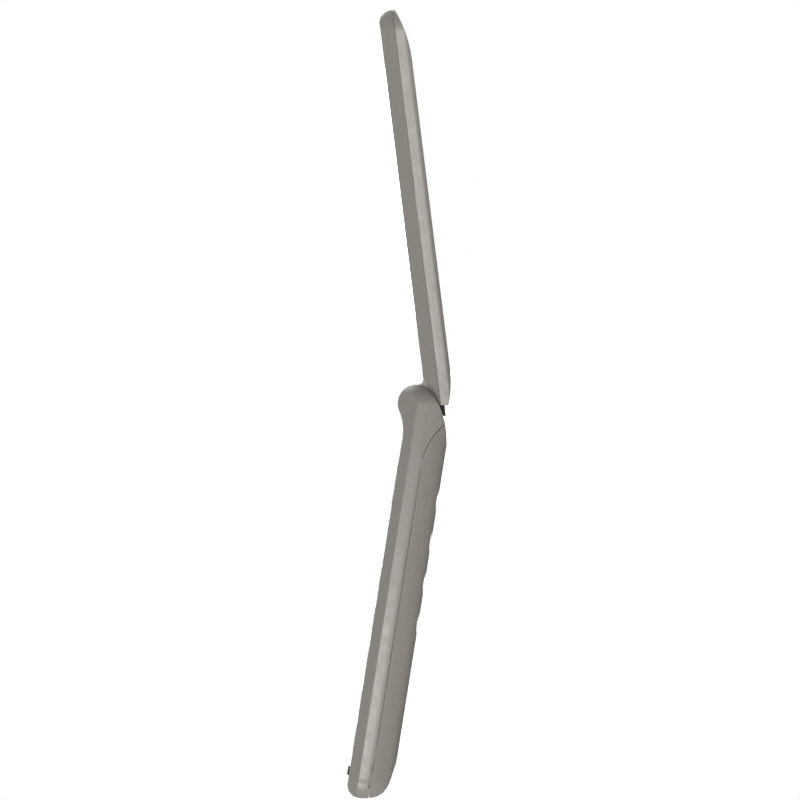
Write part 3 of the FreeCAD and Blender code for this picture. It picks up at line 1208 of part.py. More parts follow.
def outer_window():
    return plate(LID, -OUTER_WINDOW_HALF, OUTER_WINDOW_HALF, OUTER_WINDOW_START, OUTER_WINDOW_END, -LID_OUTER_DOWN,
                 -LID_OUTER_DOWN + OUTER_WINDOW_THICK, WINDOW_CORNER - SEAT_CLEAR)


def camera_module():
    top = LID_INNER_WALL - FIT_CLEAR
    base = plate(LID, -CAMERA_HALF, CAMERA_HALF, CAMERA_S - CAMERA_HALF, CAMERA_S + CAMERA_HALF,
                 LID_OUTER_WALL + EDGE, top, EDGE / 2)
    barrel = disc(LID, 0, CAMERA_S, CAMERA_WINDOW_R - FIT_CLEAR * 2, LID_OUTER_WALL, LID_OUTER_WALL + EDGE)
    return base.fuse(barrel)


def camera_ring():
    low = -LID_OUTER_DOWN
    ring = disc(LID, 0, CAMERA_S, CAMERA_RING_R, low, low + CAMERA_RING_THICK)
    return ring.cut(disc(LID, 0, CAMERA_S, CAMERA_WINDOW_R + SEAT_CLEAR, low - EDGE, 0))


def camera_window():
    low = -LID_OUTER_DOWN + FIT_CLEAR
    return disc(LID, 0, CAMERA_S, CAMERA_WINDOW_R - SEAT_CLEAR, low, low + CAMERA_RING_THICK)


def earpiece():
    top = LID_INNER_WALL - MESH_THICK - SEAT_CLEAR
    return plate(LID, -EARPIECE_HALF, EARPIECE_HALF, EARPIECE_S - EARPIECE_LONG / 2, EARPIECE_S + EARPIECE_LONG / 2,
                 top - EARPIECE_THICK, top, EDGE)


def earpiece_mesh():
    top = LID_INNER_WALL
    return plate(LID, -EAR_SLOT_HALF - EDGE, EAR_SLOT_HALF + EDGE, EARPIECE_S - EARPIECE_LONG / 2,
                 EARPIECE_S + EARPIECE_LONG / 2, top - MESH_THICK, top, EDGE / 2)


def lid_magnet():
    top = LID_INNER_WALL
    return block(LID, MAGNET_X - EDGE, MAGNET_X + EDGE / 2, MAGNET_S - MAGNET_LONG, MAGNET_S, top - EDGE * 2, top)


def lid_screws():
    solids = []
    for x, s in LID_SCREWS:
        head = LID_INNER_WALL - EDGE / 2 + SCREW_HEAD_HIGH + SEAT_CLEAR
        solids.append(screw(LID, x, s, head, -1, head - LID_OUTER_WALL - EDGE))
    return group(solids)


def screw_plugs():
    low = LID_INNER_WALL + SEAT_CLEAR + LID_WALL - PLUG_THICK - SEAT_CLEAR * 2
    return group([disc(LID, x, s, PLUG_R, low, low + PLUG_THICK) for x, s in LID_SCREWS])


def hinge_cartridge():
    start = KNUCKLE_HALF - CARTRIDGE_LONG
    can = rod(LID, start, KNUCKLE_HALF, 0, 0, CARTRIDGE_R)
    deep = CAM_IN_CARTRIDGE + FIT_CLEAR
    return can.cut(rod(LID, EAR_INNER - deep, KNUCKLE_HALF + EDGE, 0, 0, CAM_SHAFT_R + BEARING_CLEAR))


def lid_flex_line():
    """Where the lid's flex runs: off its turn round the axis, down, then flat under the lid's board."""
    turn = math.radians(FLEX_LEAVES_DEG)
    radius = FLEX_WRAP_R - FLEX_THICK / 2
    start = (radius * math.cos(turn), radius * math.sin(turn))
    low = LID_BOARD_LOW - FLEX_THICK / 2
    along = (start[1] - low) / math.cos(turn)
    corner = (start[0] + along * math.sin(turn), low)
    return [start, corner, (LID_BOARD_START + EDGE * 3, low)]


def lid_flex():
    """The flex from the lid's board to the hinge: flat, wound once round the axis, and rolled through the bush."""
    wrap = rod(LID, WRAP_START, WRAP_END, 0, 0, FLEX_WRAP_R)
    wrap = wrap.cut(rod(LID, WRAP_START + FLEX_THICK, WRAP_END + EDGE, 0, 0, FLEX_WRAP_R - FLEX_THICK))
    core = rod(LID, -EAR_INNER - BUSH_IN_EAR, WRAP_START + FLEX_THICK, 0, 0, FLEX_CORE_R)
    run = strip(LID, lid_flex_line(), -FLEX_THICK / 2, FLEX_THICK / 2)
    return wrap.fuse([core, across(run, WRAP_START, WRAP_END)])


def place(half, shape):
    """Puts a shape drawn about the hinge axis into the phone's own frame."""
    shape = shape.copy()
    if half == LID:
        shape.rotate(Vector(0, 0, 0), Vector(1, 0, 0), 180 - OPEN_DEG)
    shape.translate(Vector(0, ORIGIN_S, BACK_DOWN))
    return shape


def build():
    base_outer = envelope(base_outline(), base_hull(0, True))
    base_outer = base_outer.cut(both_sides(ear_dome))
    base_inner = envelope(base_outline().makeOffset2D(-BASE_WALL), base_hull(BASE_WALL, False))
    lid_outer = envelope(lid_outline(), lid_hull(0, True)).cut(both_sides(end_round))
    lid_inner = envelope(lid_outline().makeOffset2D(-LID_WALL), lid_hull(LID_WALL, False))
    base = {
        "front_housing": front_housing(base_outer, base_inner),
        "rear_housing": rear_housing(base_outer, base_inner),
        "battery_door": battery_door(),
        "battery_pack": battery_pack(),
        "battery_contacts": battery_contacts(),
        "main_board": main_board(),
        "shield_cans": shield_cans(),
        "card_socket": card_socket(),
        "dome_sheet": dome_sheet(),
        "loudspeaker": loudspeaker(),
        "vibration_motor": vibration_motor(),
        "microphone": microphone(),
        "antenna": antenna(),
        "charge_connector": charge_connector(),
        "port_cover": port_cover(),
        "volume_rocker": volume_rocker(),
        "housing_screws": housing_screws(),
        "hinge_cam": hinge_cam(),
        "hinge_bush": hinge_bush(),
        "base_flex": base_flex(),
        "rubber_stops": group(both_sides(lambda sign: stop_block(sign, 0))),
        "foot_bumpers": group(both_sides(lambda sign: bumper_block(sign, 0))),
        "nav_ring": nav_ring(),
        "nav_pad": nav_pad(),
        "ok_key": ok_key(),
        "key_soft_left": soft_key(-1),
        "key_soft_right": soft_key(1),
    }
    for name, x, s in key_places():
        base["key_" + name] = number_key(name, x, s)
    lid = {
        "lid_inner_housing": lid_inner_housing(lid_outer, lid_inner),
        "lid_outer_housing": lid_outer_housing(lid_outer, lid_inner),
        "main_window": main_window(),
        "main_display": main_display(),
        "display_chassis": display_chassis(),
        "lid_board": lid_board(),
        "lid_flex": lid_flex(),
        "outer_display": outer_display(),
        "outer_window": outer_window(),
        "camera_module": camera_module(),
        "camera_ring": camera_ring(),
        "camera_window": camera_window(),
        "earpiece": earpiece(),
        "earpiece_mesh": earpiece_mesh(),
        "lid_magnet": lid_magnet(),
        "lid_screws": lid_screws(),
        "screw_plugs": screw_plugs(),
        "hinge_cartridge": hinge_cartridge(),
    }
    pieces = {name: place(BASE, shape) for name, shape in base.items()}
    pieces.update({name: place(LID, shape) for name, shape in lid.items()})
    return pieces


os.makedirs("parts", exist_ok=True)
for node, solid in build().items():
    solid.exportStep("parts/" + node + ".step")
    box = solid.BoundBox
    print(node, len(solid.Solids), "solids", round(solid.Volume, 2), "mm3", "valid" if solid.isValid() else "BAD",
          [round(v, 2) for v in (box.XMin, box.XMax, box.YMin, box.YMax, box.ZMin, box.ZMax)])
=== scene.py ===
"""Looks of a clamshell mobile phone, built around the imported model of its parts.

The phone lies open on its back with its lid raised, and the camera sees its right side. Sizes are in
millimetres, and every piece is brought to metres when its mesh is finished. Two frames are used: the
base's, which is the row frame itself, and the lid's, measured from the hinge axis along the lid.
"""

from __future__ import annotations

import json
import logging
import math
from dataclasses import dataclass
from enum import Enum

import bmesh
import bpy
from mathutils import Matrix, Vector

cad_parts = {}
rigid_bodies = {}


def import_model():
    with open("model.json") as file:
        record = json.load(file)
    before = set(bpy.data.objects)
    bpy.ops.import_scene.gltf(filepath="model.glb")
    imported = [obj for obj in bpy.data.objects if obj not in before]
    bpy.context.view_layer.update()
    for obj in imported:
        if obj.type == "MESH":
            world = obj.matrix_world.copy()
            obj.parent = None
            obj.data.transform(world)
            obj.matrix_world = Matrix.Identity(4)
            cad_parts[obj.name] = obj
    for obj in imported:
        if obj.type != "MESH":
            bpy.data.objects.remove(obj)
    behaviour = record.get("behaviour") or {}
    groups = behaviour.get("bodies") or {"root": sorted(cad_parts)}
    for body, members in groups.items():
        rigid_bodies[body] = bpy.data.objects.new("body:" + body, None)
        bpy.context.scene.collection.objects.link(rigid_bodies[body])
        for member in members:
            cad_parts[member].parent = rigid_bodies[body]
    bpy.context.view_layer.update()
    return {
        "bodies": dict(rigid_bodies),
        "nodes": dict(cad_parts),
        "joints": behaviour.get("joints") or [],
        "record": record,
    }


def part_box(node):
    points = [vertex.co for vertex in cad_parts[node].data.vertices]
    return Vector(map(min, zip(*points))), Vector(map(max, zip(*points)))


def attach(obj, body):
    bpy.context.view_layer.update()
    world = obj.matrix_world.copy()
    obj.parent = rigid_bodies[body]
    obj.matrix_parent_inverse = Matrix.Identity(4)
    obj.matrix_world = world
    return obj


log = logging.getLogger("phone")

CREASE_ANGLE = math.radians(30)
METRE = 0.001


def linear(code: str) -> tuple[float, float, float, float]:
    """Turns an sRGB hex colour to the linear colour that a shader takes.

    Args:
        code: the colour, such as "9A928B".

    Returns:
        Red, green, blue and an alpha of 1.
    """
    parts = [int(code[i:i + 2], 16) / 255 for i in (0, 2, 4)]
    toned = [p / 12.92 if p <= 0.04045 else ((p + 0.055) / 1.055) ** 2.4 for p in parts]
    return (*toned, 1.0)


def per_metre(size: float) -> float:
    """The texture scale at which one cell of a pattern is `size` millimetres across."""
    return 1 / (size * METRE)


def add_node(
    tree: bpy.types.NodeTree,
    kind: str,
    values: dict[int | str, object] | None = None,
    links: dict[int | str, bpy.types.NodeSocket] | None = None,
    stops: list[tuple[float, str]] | None = None,
    **settings: object,
) -> bpy.types.Node:
    """Adds a node with its settings, constants, colour stops and links.

    Args:
        tree: the node tree that takes the node.
        kind: Blender's name for the node's type.
        values: constants by input name or number.
        links: source sockets by input name or number.
        stops: place and hex colour of each stop of a colour ramp.
        settings: the node's own properties, such as its operation.

    Returns:
        The new node.
    """
    node = tree.nodes.new(kind)
    for key, value in settings.items():
        setattr(node, key, value)
    for key, value in (values or {}).items():
        node.inputs[key].default_value = value
    for key, source in (links or {}).items():
        tree.links.new(source, node.inputs[key])
    if stops:
        ramp = node.color_ramp.elements
        while len(ramp) < len(stops):
            ramp.new(1.0)
        for element, (place, code) in zip(ramp, stops):
            element.position = place
            element.color = linear(code)
    return node


@dataclass
class Surface:
    """A material under way: its tree, its shader and the place on the object that patterns read."""

    made: bpy.types.Material
    shader: bpy.types.Node
    place: bpy.types.NodeSocket

    @property
    def tree(self) -> bpy.types.NodeTree:
        """The material's node tree."""
        return self.made.node_tree

    def grain(self, size: float, detail: float = 2.0, stretch: tuple[float, float, float] | None = None,
              ) -> bpy.types.NodeSocket:
        """Lays soft noise of a real size over the object.

        Args:
            size: how far apart the noise's lumps lie, in millimetres.
            detail: how many finer layers it has.
            stretch: how much denser it is along X, Y and Z.

        Returns:
            The noise, from 0 to 1.
        """
        place = self.place
        if stretch:
            place = add_node(self.tree, "ShaderNodeMapping", {"Scale": stretch}, {"Vector": place}).outputs[0]
        noise = add_node(self.tree, "ShaderNodeTexNoise", {"Scale": per_metre(size), "Detail": detail},
                         {"Vector": place})
        return noise.outputs[0]

    def vary(self, source: bpy.types.NodeSocket, low: float, high: float, goal: str) -> None:
        """Drives one of the shader's inputs between two values with a pattern."""
        span = add_node(self.tree, "ShaderNodeMapRange", {"From Min": 0.3, "From Max": 0.7, "To Min": low,
                                                          "To Max": high}, {"Value": source})
        self.tree.links.new(span.outputs[0], self.shader.inputs[goal])

    def raise_by(self, source: bpy.types.NodeSocket, height: float, under: bpy.types.NodeSocket | None = None,
                 ) -> bpy.types.NodeSocket:
        """Makes a pattern stand up from the surface.

        Args:
            source: the pattern.
            height: how high its peaks are, in millimetres.
            under: the normal of what it lies on.

        Returns:
            The new normal, also linked to the shader.
        """
        bump = add_node(self.tree, "ShaderNodeBump", {"Distance": height * METRE}, {"Height": source})
        if under is not None:
            self.tree.links.new(under, bump.inputs["Normal"])
        self.tree.links.new(bump.outputs[0], self.shader.inputs["Normal"])
        return bump.outputs[0]


def start_surface(name: str, **values: object) -> Surface:
    """Begins a material with one shader.

    Args:
        name: what the material is.
        values: constants of the shader, with underscores for the spaces in their names.

    Returns:
        The surface, ready for its patterns.
    """
    made = bpy.data.materials.new(name)
    made.use_nodes = True
    tree = made.node_tree
    tree.nodes.clear()
    named = {key.replace("_", " "): value for key, value in values.items()}
    shader = add_node(tree, "ShaderNodeBsdfPrincipled", named)
    add_node(tree, "ShaderNodeOutputMaterial", links={"Surface": shader.outputs[0]})
    place = add_node(tree, "ShaderNodeTexCoord").outputs["Object"]
    return Surface(made, shader, place)


@dataclass(frozen=True)
class MetallicPaint:
    """Sprayed metallic lacquer on a moulding: a satin film with fine flakes and a faint orange peel."""

    name: str
    colour: str
    flake: str
    deep: str
    metallic: float = 0.08
    roughness: float = 0.38
    flake_size: float = 0.14
    peel_size: float = 1.1
    edge_radius: float = 0.12

    def material(self) -> bpy.types.Material:
        """Makes the lacquer, with flakes drawn coarser than real ones so that they show at all."""
        made = start_surface(self.name, Metallic=self.metallic, Roughness=self.roughness)
        tree = made.tree
        flakes = add_node(tree, "ShaderNodeTexVoronoi", {"Scale": per_metre(self.flake_size)},
                          {"Vector": made.place})
        tone = add_node(tree, "ShaderNodeValToRGB", links={"Fac": flakes.outputs["Color"]},
                        stops=[(0.15, self.deep), (0.5, self.colour), (0.9, self.flake)])
        clouds = add_node(tree, "ShaderNodeValToRGB", links={"Fac": made.grain(9.0)},
                          stops=[(0.3, self.deep), (0.7, self.colour)])
        mixed = add_node(tree, "ShaderNodeMix", {0: 0.35}, {6: tone.outputs[0], 7: clouds.outputs[0]},
                         data_type="RGBA")
        tree.links.new(mixed.outputs[2], made.shader.inputs["Base Color"])
        made.vary(made.grain(2.2, 4.0), self.roughness - 0.04, self.roughness + 0.05, "Roughness")
        edge = add_node(tree, "ShaderNodeBevel", {"Radius": self.edge_radius * METRE}, samples=4)
        made.raise_by(made.grain(self.peel_size, 1.0), 0.002, edge.outputs[0])
        return made.made


@dataclass(frozen=True)
class Moulding:
    """Moulded plastic, rubber or film: an even colour with a fine grain from the tool."""

    name: str
    colour: str
    shade: str
    roughness: float = 0.5
    grain_size: float = 0.25
    grain_height: float = 0.012
    blotch_size: float = 3.0
    clearness: float = 0.0

    def material(self) -> bpy.types.Material:
        """Makes the moulding, grained as its tool was."""
        made = start_surface(self.name, Roughness=self.roughness, Transmission_Weight=self.clearness)
        tone = add_node(made.tree, "ShaderNodeValToRGB", links={"Fac": made.grain(self.blotch_size, 3.0)},
                        stops=[(0.3, self.shade), (0.7, self.colour)])
        made.tree.links.new(tone.outputs[0], made.shader.inputs["Base Color"])
        made.vary(made.grain(self.grain_size), self.roughness - 0.06, self.roughness + 0.06, "Roughness")
        made.raise_by(made.grain(self.grain_size), self.grain_height)
        return made.made


@dataclass(frozen=True)
class RolledMetal:
    """Sheet or drawn metal: long fine lines along the way it was rolled, duller in patches."""

    name: str
    colour: str
    shade: str
    roughness: float = 0.3
    line_size: float = 0.12
    along: tuple[float, float, float] = (1.0, 0.04, 1.0)

    def material(self) -> bpy.types.Material:
        """Makes the metal, with its lines wide enough to show."""
        made = start_surface(self.name, Metallic=1.0, Roughness=self.roughness)
        lines = made.grain(self.line_size, 3.0, self.along)
        tone = add_node(made.tree, "ShaderNodeValToRGB", links={"Fac": lines},
                        stops=[(0.3, self.shade), (0.7, self.colour)])
        made.tree.links.new(tone.outputs[0], made.shader.inputs["Base Color"])
        made.vary(made.grain(1.5), self.roughness - 0.06, self.roughness + 0.10, "Roughness")
        made.raise_by(lines, 0.004)
        return made.made


@dataclass(frozen=True)
class TurnedMetal:
    """Turned or spun metal and plating: fine rings round one axis."""

    name: str
    colour: str
    shade: str
    centre: tuple[float, float, float]
    tilt: float = 0.0
    roughness: float = 0.25
    ring_size: float = 0.22

    def material(self) -> bpy.types.Material:
        """Makes the metal, with its rings centred on the piece."""
        made = start_surface(self.name, Metallic=1.0, Roughness=self.roughness)
        tree = made.tree
        turned = add_node(tree, "ShaderNodeMapping",
                          {"Location": [c * METRE for c in self.centre],
                           "Rotation": (math.radians(self.tilt), 0.0, 0.0)},
                          {"Vector": made.place}, vector_type="TEXTURE")
        rings = add_node(tree, "ShaderNodeTexWave", {"Scale": per_metre(self.ring_size) / 20, "Distortion": 0.4},
                         {"Vector": turned.outputs[0]}, wave_type="RINGS", rings_direction="Z")
        tone = add_node(tree, "ShaderNodeValToRGB", links={"Fac": rings.outputs["Fac"]},
                        stops=[(0.2, self.shade), (0.8, self.colour)])
        tree.links.new(tone.outputs[0], made.shader.inputs["Base Color"])
        made.vary(made.grain(1.2), self.roughness - 0.05, self.roughness + 0.08, "Roughness")
        made.raise_by(rings.outputs["Fac"], 0.003)
        return made.made


@dataclass(frozen=True)
class PerforatedSheet:
    """Etched metal mesh: staggered rows of small round holes, painted near-black: partly the black earpiece behind
    them, partly painted shade inside them.
    """

    name: str
    colour: str
    hole: str
    tilt: float
    pitch: float = 0.42
    hole_share: float = 0.3

    def material(self) -> bpy.types.Material:
        """Makes the mesh; its holes lie on a flat grid in the sheet's own plane."""
        made = start_surface(self.name, Metallic=1.0, Roughness=0.35)
        tree = made.tree
        flat = add_node(tree, "ShaderNodeMapping", {"Rotation": (math.radians(-self.tilt), 0.0, math.radians(45))},
                        {"Vector": made.place})
        cells = add_node(tree, "ShaderNodeTexVoronoi", {"Scale": per_metre(self.pitch), "Randomness": 0.0},
                         {"Vector": flat.outputs[0]}, voronoi_dimensions="2D")
        solid = add_node(tree, "ShaderNodeMath", {1: self.hole_share}, {0: cells.outputs["Distance"]},
                         operation="GREATER_THAN")
        # The holes are not cut. Their near-black colour is painted shade inside the holes together with the black
        # earpiece behind them.
        tone = add_node(tree, "ShaderNodeMix", {6: linear(self.hole), 7: linear(self.colour)},
                        {0: solid.outputs[0]}, data_type="RGBA")
        tree.links.new(tone.outputs[2], made.shader.inputs["Base Color"])
        tree.links.new(solid.outputs[0], made.shader.inputs["Metallic"])
        made.raise_by(solid.outputs[0], 0.05)
        return made.made


@dataclass(frozen=True)
class CoatedLens:
    """Polished lens glass over a dark barrel: a violet to green sheen from its coating."""

    name: str
    dark: str
    straight: str
    aslant: str

    def material(self) -> bpy.types.Material:
        """Makes the glass; the sheen follows the angle at which it is seen, as a coating's does."""
        made = start_surface(self.name, Roughness=0.06, Coat_Weight=1.0, Coat_Roughness=0.02)
        facing = add_node(made.tree, "ShaderNodeLayerWeight", {"Blend": 0.4})
        sheen = add_node(made.tree, "ShaderNodeValToRGB", links={"Fac": facing.outputs["Facing"]},
                         stops=[(0.1, self.straight), (0.8, self.aslant)])
        made.tree.links.new(sheen.outputs[0], made.shader.inputs["Specular Tint"])
        depth = add_node(made.tree, "ShaderNodeValToRGB", links={"Fac": made.grain(0.8)},
                         stops=[(0.3, self.dark), (0.7, "0B0B10")])
        made.tree.links.new(depth.outputs[0], made.shader.inputs["Base Color"])
        made.vary(made.grain(1.0), 0.04, 0.09, "Roughness")
        return made.made


@dataclass(frozen=True)
class ClearSheet:
    """Hard-coated acrylic: clear, glossy, and faintly wavy as cast sheet is."""

    name: str
    tint: str
    roughness: float = 0.03

    def material(self) -> bpy.types.Material:
        """Makes the sheet, which lets what lies under it show."""
        made = start_surface(self.name, Base_Color=linear(self.tint), Transmission_Weight=1.0, IOR=1.49,
                             Roughness=self.roughness)
        made.vary(made.grain(4.0), self.roughness, self.roughness + 0.03, "Roughness")
        made.raise_by(made.grain(12.0, 0.0), 0.004)
        return made.made


@dataclass(frozen=True)
class DisplayGlass:
    """A display that is switched off: near-black glass with the dot pattern just showing."""

    name: str
    colour: str
    gap: str
    pitch: float = 0.18

    def material(self) -> bpy.types.Material:
        """Makes the glass, with its dots drawn coarser than real ones."""
        made = start_surface(self.name, Roughness=0.14, Coat_Weight=0.5, Coat_Roughness=0.05)
        dots = add_node(made.tree, "ShaderNodeTexBrick",
                        {"Color1": linear(self.colour), "Color2": linear(self.colour), "Mortar": linear(self.gap),
                         "Scale": per_metre(self.pitch), "Mortar Size": 0.08, "Brick Width": 1.0,
                         "Row Height": 1.0}, {"Vector": made.place}, offset=0.0)
        made.tree.links.new(dots.outputs["Color"], made.shader.inputs["Base Color"])
        made.vary(made.grain(6.0), 0.10, 0.18, "Roughness")
        return made.made


@dataclass(frozen=True)
class CircuitLaminate:
    """Glass-fibre board under solder mask: copper runs show through as paler lines."""

    name: str
    mask: str
    track: str
    pad: str

    def material(self) -> bpy.types.Material:
        """Makes the board, with runs 0.4 mm wide and gold pads."""
        made = start_surface(self.name, Roughness=0.35, Coat_Weight=0.3, Coat_Roughness=0.2)
        tree = made.tree
        runs = add_node(tree, "ShaderNodeTexBrick",
                        {"Color1": linear(self.mask), "Color2": linear(self.mask), "Mortar": linear(self.track),
                         "Scale": per_metre(1.1), "Mortar Size": 0.16, "Brick Width": 3.4, "Row Height": 1.0},
                        {"Vector": made.place}, offset=0.37)
        dots = add_node(tree, "ShaderNodeTexVoronoi", {"Scale": per_metre(2.4)}, {"Vector": made.place})
        near = add_node(tree, "ShaderNodeMath", {1: 0.14}, {0: dots.outputs["Distance"]}, operation="LESS_THAN")
        mixed = add_node(tree, "ShaderNodeMix", {7: linear(self.pad)},
                         {0: near.outputs[0], 6: runs.outputs["Color"]}, data_type="RGBA")
        tree.links.new(mixed.outputs[2], made.shader.inputs["Base Color"])
        made.vary(near.outputs[0], 0.0, 0.9, "Metallic")
        made.raise_by(runs.outputs["Fac"], 0.03)
        return made.made


@dataclass(frozen=True)
class FloorPaper:
    """A matte white sweep of paper, seen as white where no shadow falls on it."""

    name: str = "matte white paper sweep"
    tone: str = "F2F2F0"
    lift: float = 0.5

    def material(self) -> bpy.types.Material:
        """Makes the paper; what the camera or a mirror sees of it is lifted to white."""
        made = start_surface(self.name, Roughness=0.9)
        tree = made.tree
        tone = add_node(tree, "ShaderNodeValToRGB", links={"Fac": made.grain(3.0)},
                        stops=[(0.3, self.tone), (0.7, "F6F6F5")])
        tree.links.new(tone.outputs[0], made.shader.inputs["Base Color"])
        path = add_node(tree, "ShaderNodeLightPath")
        seen = add_node(tree, "ShaderNodeMath", links={0: path.outputs["Is Camera Ray"],
                                                       1: path.outputs["Is Glossy Ray"]}, operation="MAXIMUM")
        both = add_node(tree, "ShaderNodeMath", links={0: seen.outputs[0],
                                                       1: path.outputs["Is Transmission Ray"]},
                        operation="MAXIMUM")
        strength = add_node(tree, "ShaderNodeMath", {1: self.lift}, {0: both.outputs[0]}, operation="MULTIPLY")
        made.shader.inputs["Emission Color"].default_value = (1.0, 1.0, 1.0, 1.0)
        tree.links.new(strength.outputs[0], made.shader.inputs["Emission Strength"])
        return made.made


@dataclass(frozen=True)
class HingeLine:
    """Where the hinge axis lies in the row frame, and how far the lid is turned from the base's plane."""

    along: float = 46.0
    height: float = 8.53
    tilt: float = 16.0

    def on_lid(self) -> Matrix:
        """The place of the lid's frame: X across, Y away from the axis, Z out of the inner face."""
        turn = Matrix.Rotation(math.radians(self.tilt), 4, "X")
        return Matrix.Translation((0.0, self.along, self.height)) @ turn

    def on_base(self) -> Matrix:
        """The place of the base's frame, which is the row frame."""
        return Matrix.Identity(4)


HINGE = HingeLine()


def place_piece(
    name: str,
    shape: bmesh.types.BMesh,
    place: Matrix,
    body: str,
    finish: bpy.types.Material,
) -> bpy.types.Object:
    """Turns a shape drawn in millimetres to a piece of the phone.

    Args:
        name: the piece's name.
        shape: the mesh, which is used up.
        place: where its frame lies, in millimetres.
        body: the body that it rides on.
        finish: its material.

    Returns:
        The piece, with its place in its mesh.
    """
    bmesh.ops.remove_doubles(shape, verts=shape.verts, dist=1e-5)
    bmesh.ops.recalc_face_normals(shape, faces=shape.faces)
    bmesh.ops.transform(shape, matrix=Matrix.Scale(METRE, 4) @ place, verts=shape.verts)
    mesh = bpy.data.meshes.new(name)
    shape.to_mesh(mesh)
    shape.free()
    mesh.polygons.foreach_set("use_smooth", [True] * len(mesh.polygons))
    mesh.set_sharp_from_angle(angle=CREASE_ANGLE)
    mesh.materials.append(finish)
    piece = bpy.data.objects.new(name, mesh)
    bpy.context.scene.collection.objects.link(piece)
    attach(piece, body)
    log.info("%s: %d faces on %s", name, len(mesh.polygons), body)
    return piece


def dress_node(frame: dict, name: str, finish: bpy.types.Material) -> None:
    """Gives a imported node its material, and shades its curved faces smoothly.

    Args:
        name: the node.
        finish: its material.
    """
    node = frame["nodes"][name]
    node.data.materials.clear()
    node.data.materials.append(finish)
    node.data.polygons.foreach_set("use_smooth", [True] * len(node.data.polygons))
    joined = node.modifiers.new("joined", "WELD")
    joined.merge_threshold = 1e-6
    creases = node.modifiers.new("creases", "EDGE_SPLIT")
    creases.split_angle = CREASE_ANGLE
    creases.use_edge_sharp = False


def written(text: str, height: float, thick: float) -> bmesh.types.BMesh:
    """Draws generic lettering flat on the XY plane, centred on the origin.

    Args:
        text: the characters.
        height: how tall a capital is, in millimetres.
        thick: how thick the ink is, in millimetres.

    Returns:
        The mesh of the letters.
    """
    curve = bpy.data.curves.new("lettering", "FONT")
    curve.body = text
    curve.size = height / 0.7
    curve.extrude = thick / 2
    curve.resolution_u = 6
    curve.align_x = "CENTER"
    curve.align_y = "CENTER"
    holder = bpy.data.objects.new("lettering", curve)
    bpy.context.scene.collection.objects.link(holder)
    bpy.context.view_layer.update()
    flat = bpy.data.meshes.new_from_object(holder.evaluated_get(bpy.context.evaluated_depsgraph_get()))
    shape = bmesh.new()
    shape.from_mesh(flat)
    bpy.data.objects.remove(holder)
    bpy.data.curves.remove(curve)
    bpy.data.meshes.remove(flat)
    return shape


def rounded_plate(wide: float, long: float, corner: float, thick: float, segments: int = 6,
                  ) -> bmesh.types.BMesh:
    """Draws a plate with round corners, its middle at the origin and its top at Z = 0."""
    shape = bmesh.new()
    bmesh.ops.create_cube(shape, size=1.0)
    bmesh.ops.scale(shape, vec=(wide, long, thick), verts=shape.verts)
    bmesh.ops.translate(shape, vec=(0.0, 0.0, -thick / 2), verts=shape.verts)
    upright = [e for e in shape.edges if abs(e.verts[0].co.z - e.verts[1].co.z) > thick / 2]
    bmesh.ops.bevel(shape, geom=upright, offset=corner, offset_type="OFFSET", affect="EDGES", segments=segments,
                    profile=0.5, material=-1)
    return shape


def spun(profile: list[tuple[float, float]], steps: int = 64) -> bmesh.types.BMesh:
    """Spins a closed profile of radius and height round the Z axis."""
    shape = bmesh.new()
    points = [shape.verts.new((radius, 0.0, height)) for radius, height in profile]
    edges = [shape.edges.new((a, b)) for a, b in zip(points, points[1:] + points[:1])]
    bmesh.ops.spin(shape, geom=points + edges, cent=(0, 0, 0), axis=(0, 0, 1), angle=math.tau, steps=steps,
                   use_merge=True)
    return shape


def joined(shapes: list[bmesh.types.BMesh]) -> bmesh.types.BMesh:
    """Puts several shapes in one mesh, and frees them."""
    whole = bmesh.new()
    for shape in shapes:
        part = bpy.data.meshes.new("part")
        shape.to_mesh(part)
        shape.free()
        whole.from_mesh(part)
        bpy.data.meshes.remove(part)
    return whole


class CallMark(Enum):
    """The generic signs of the three call keys."""

    SEND = "key_send"
    CLEAR = "key_clear"
    END = "key_end"


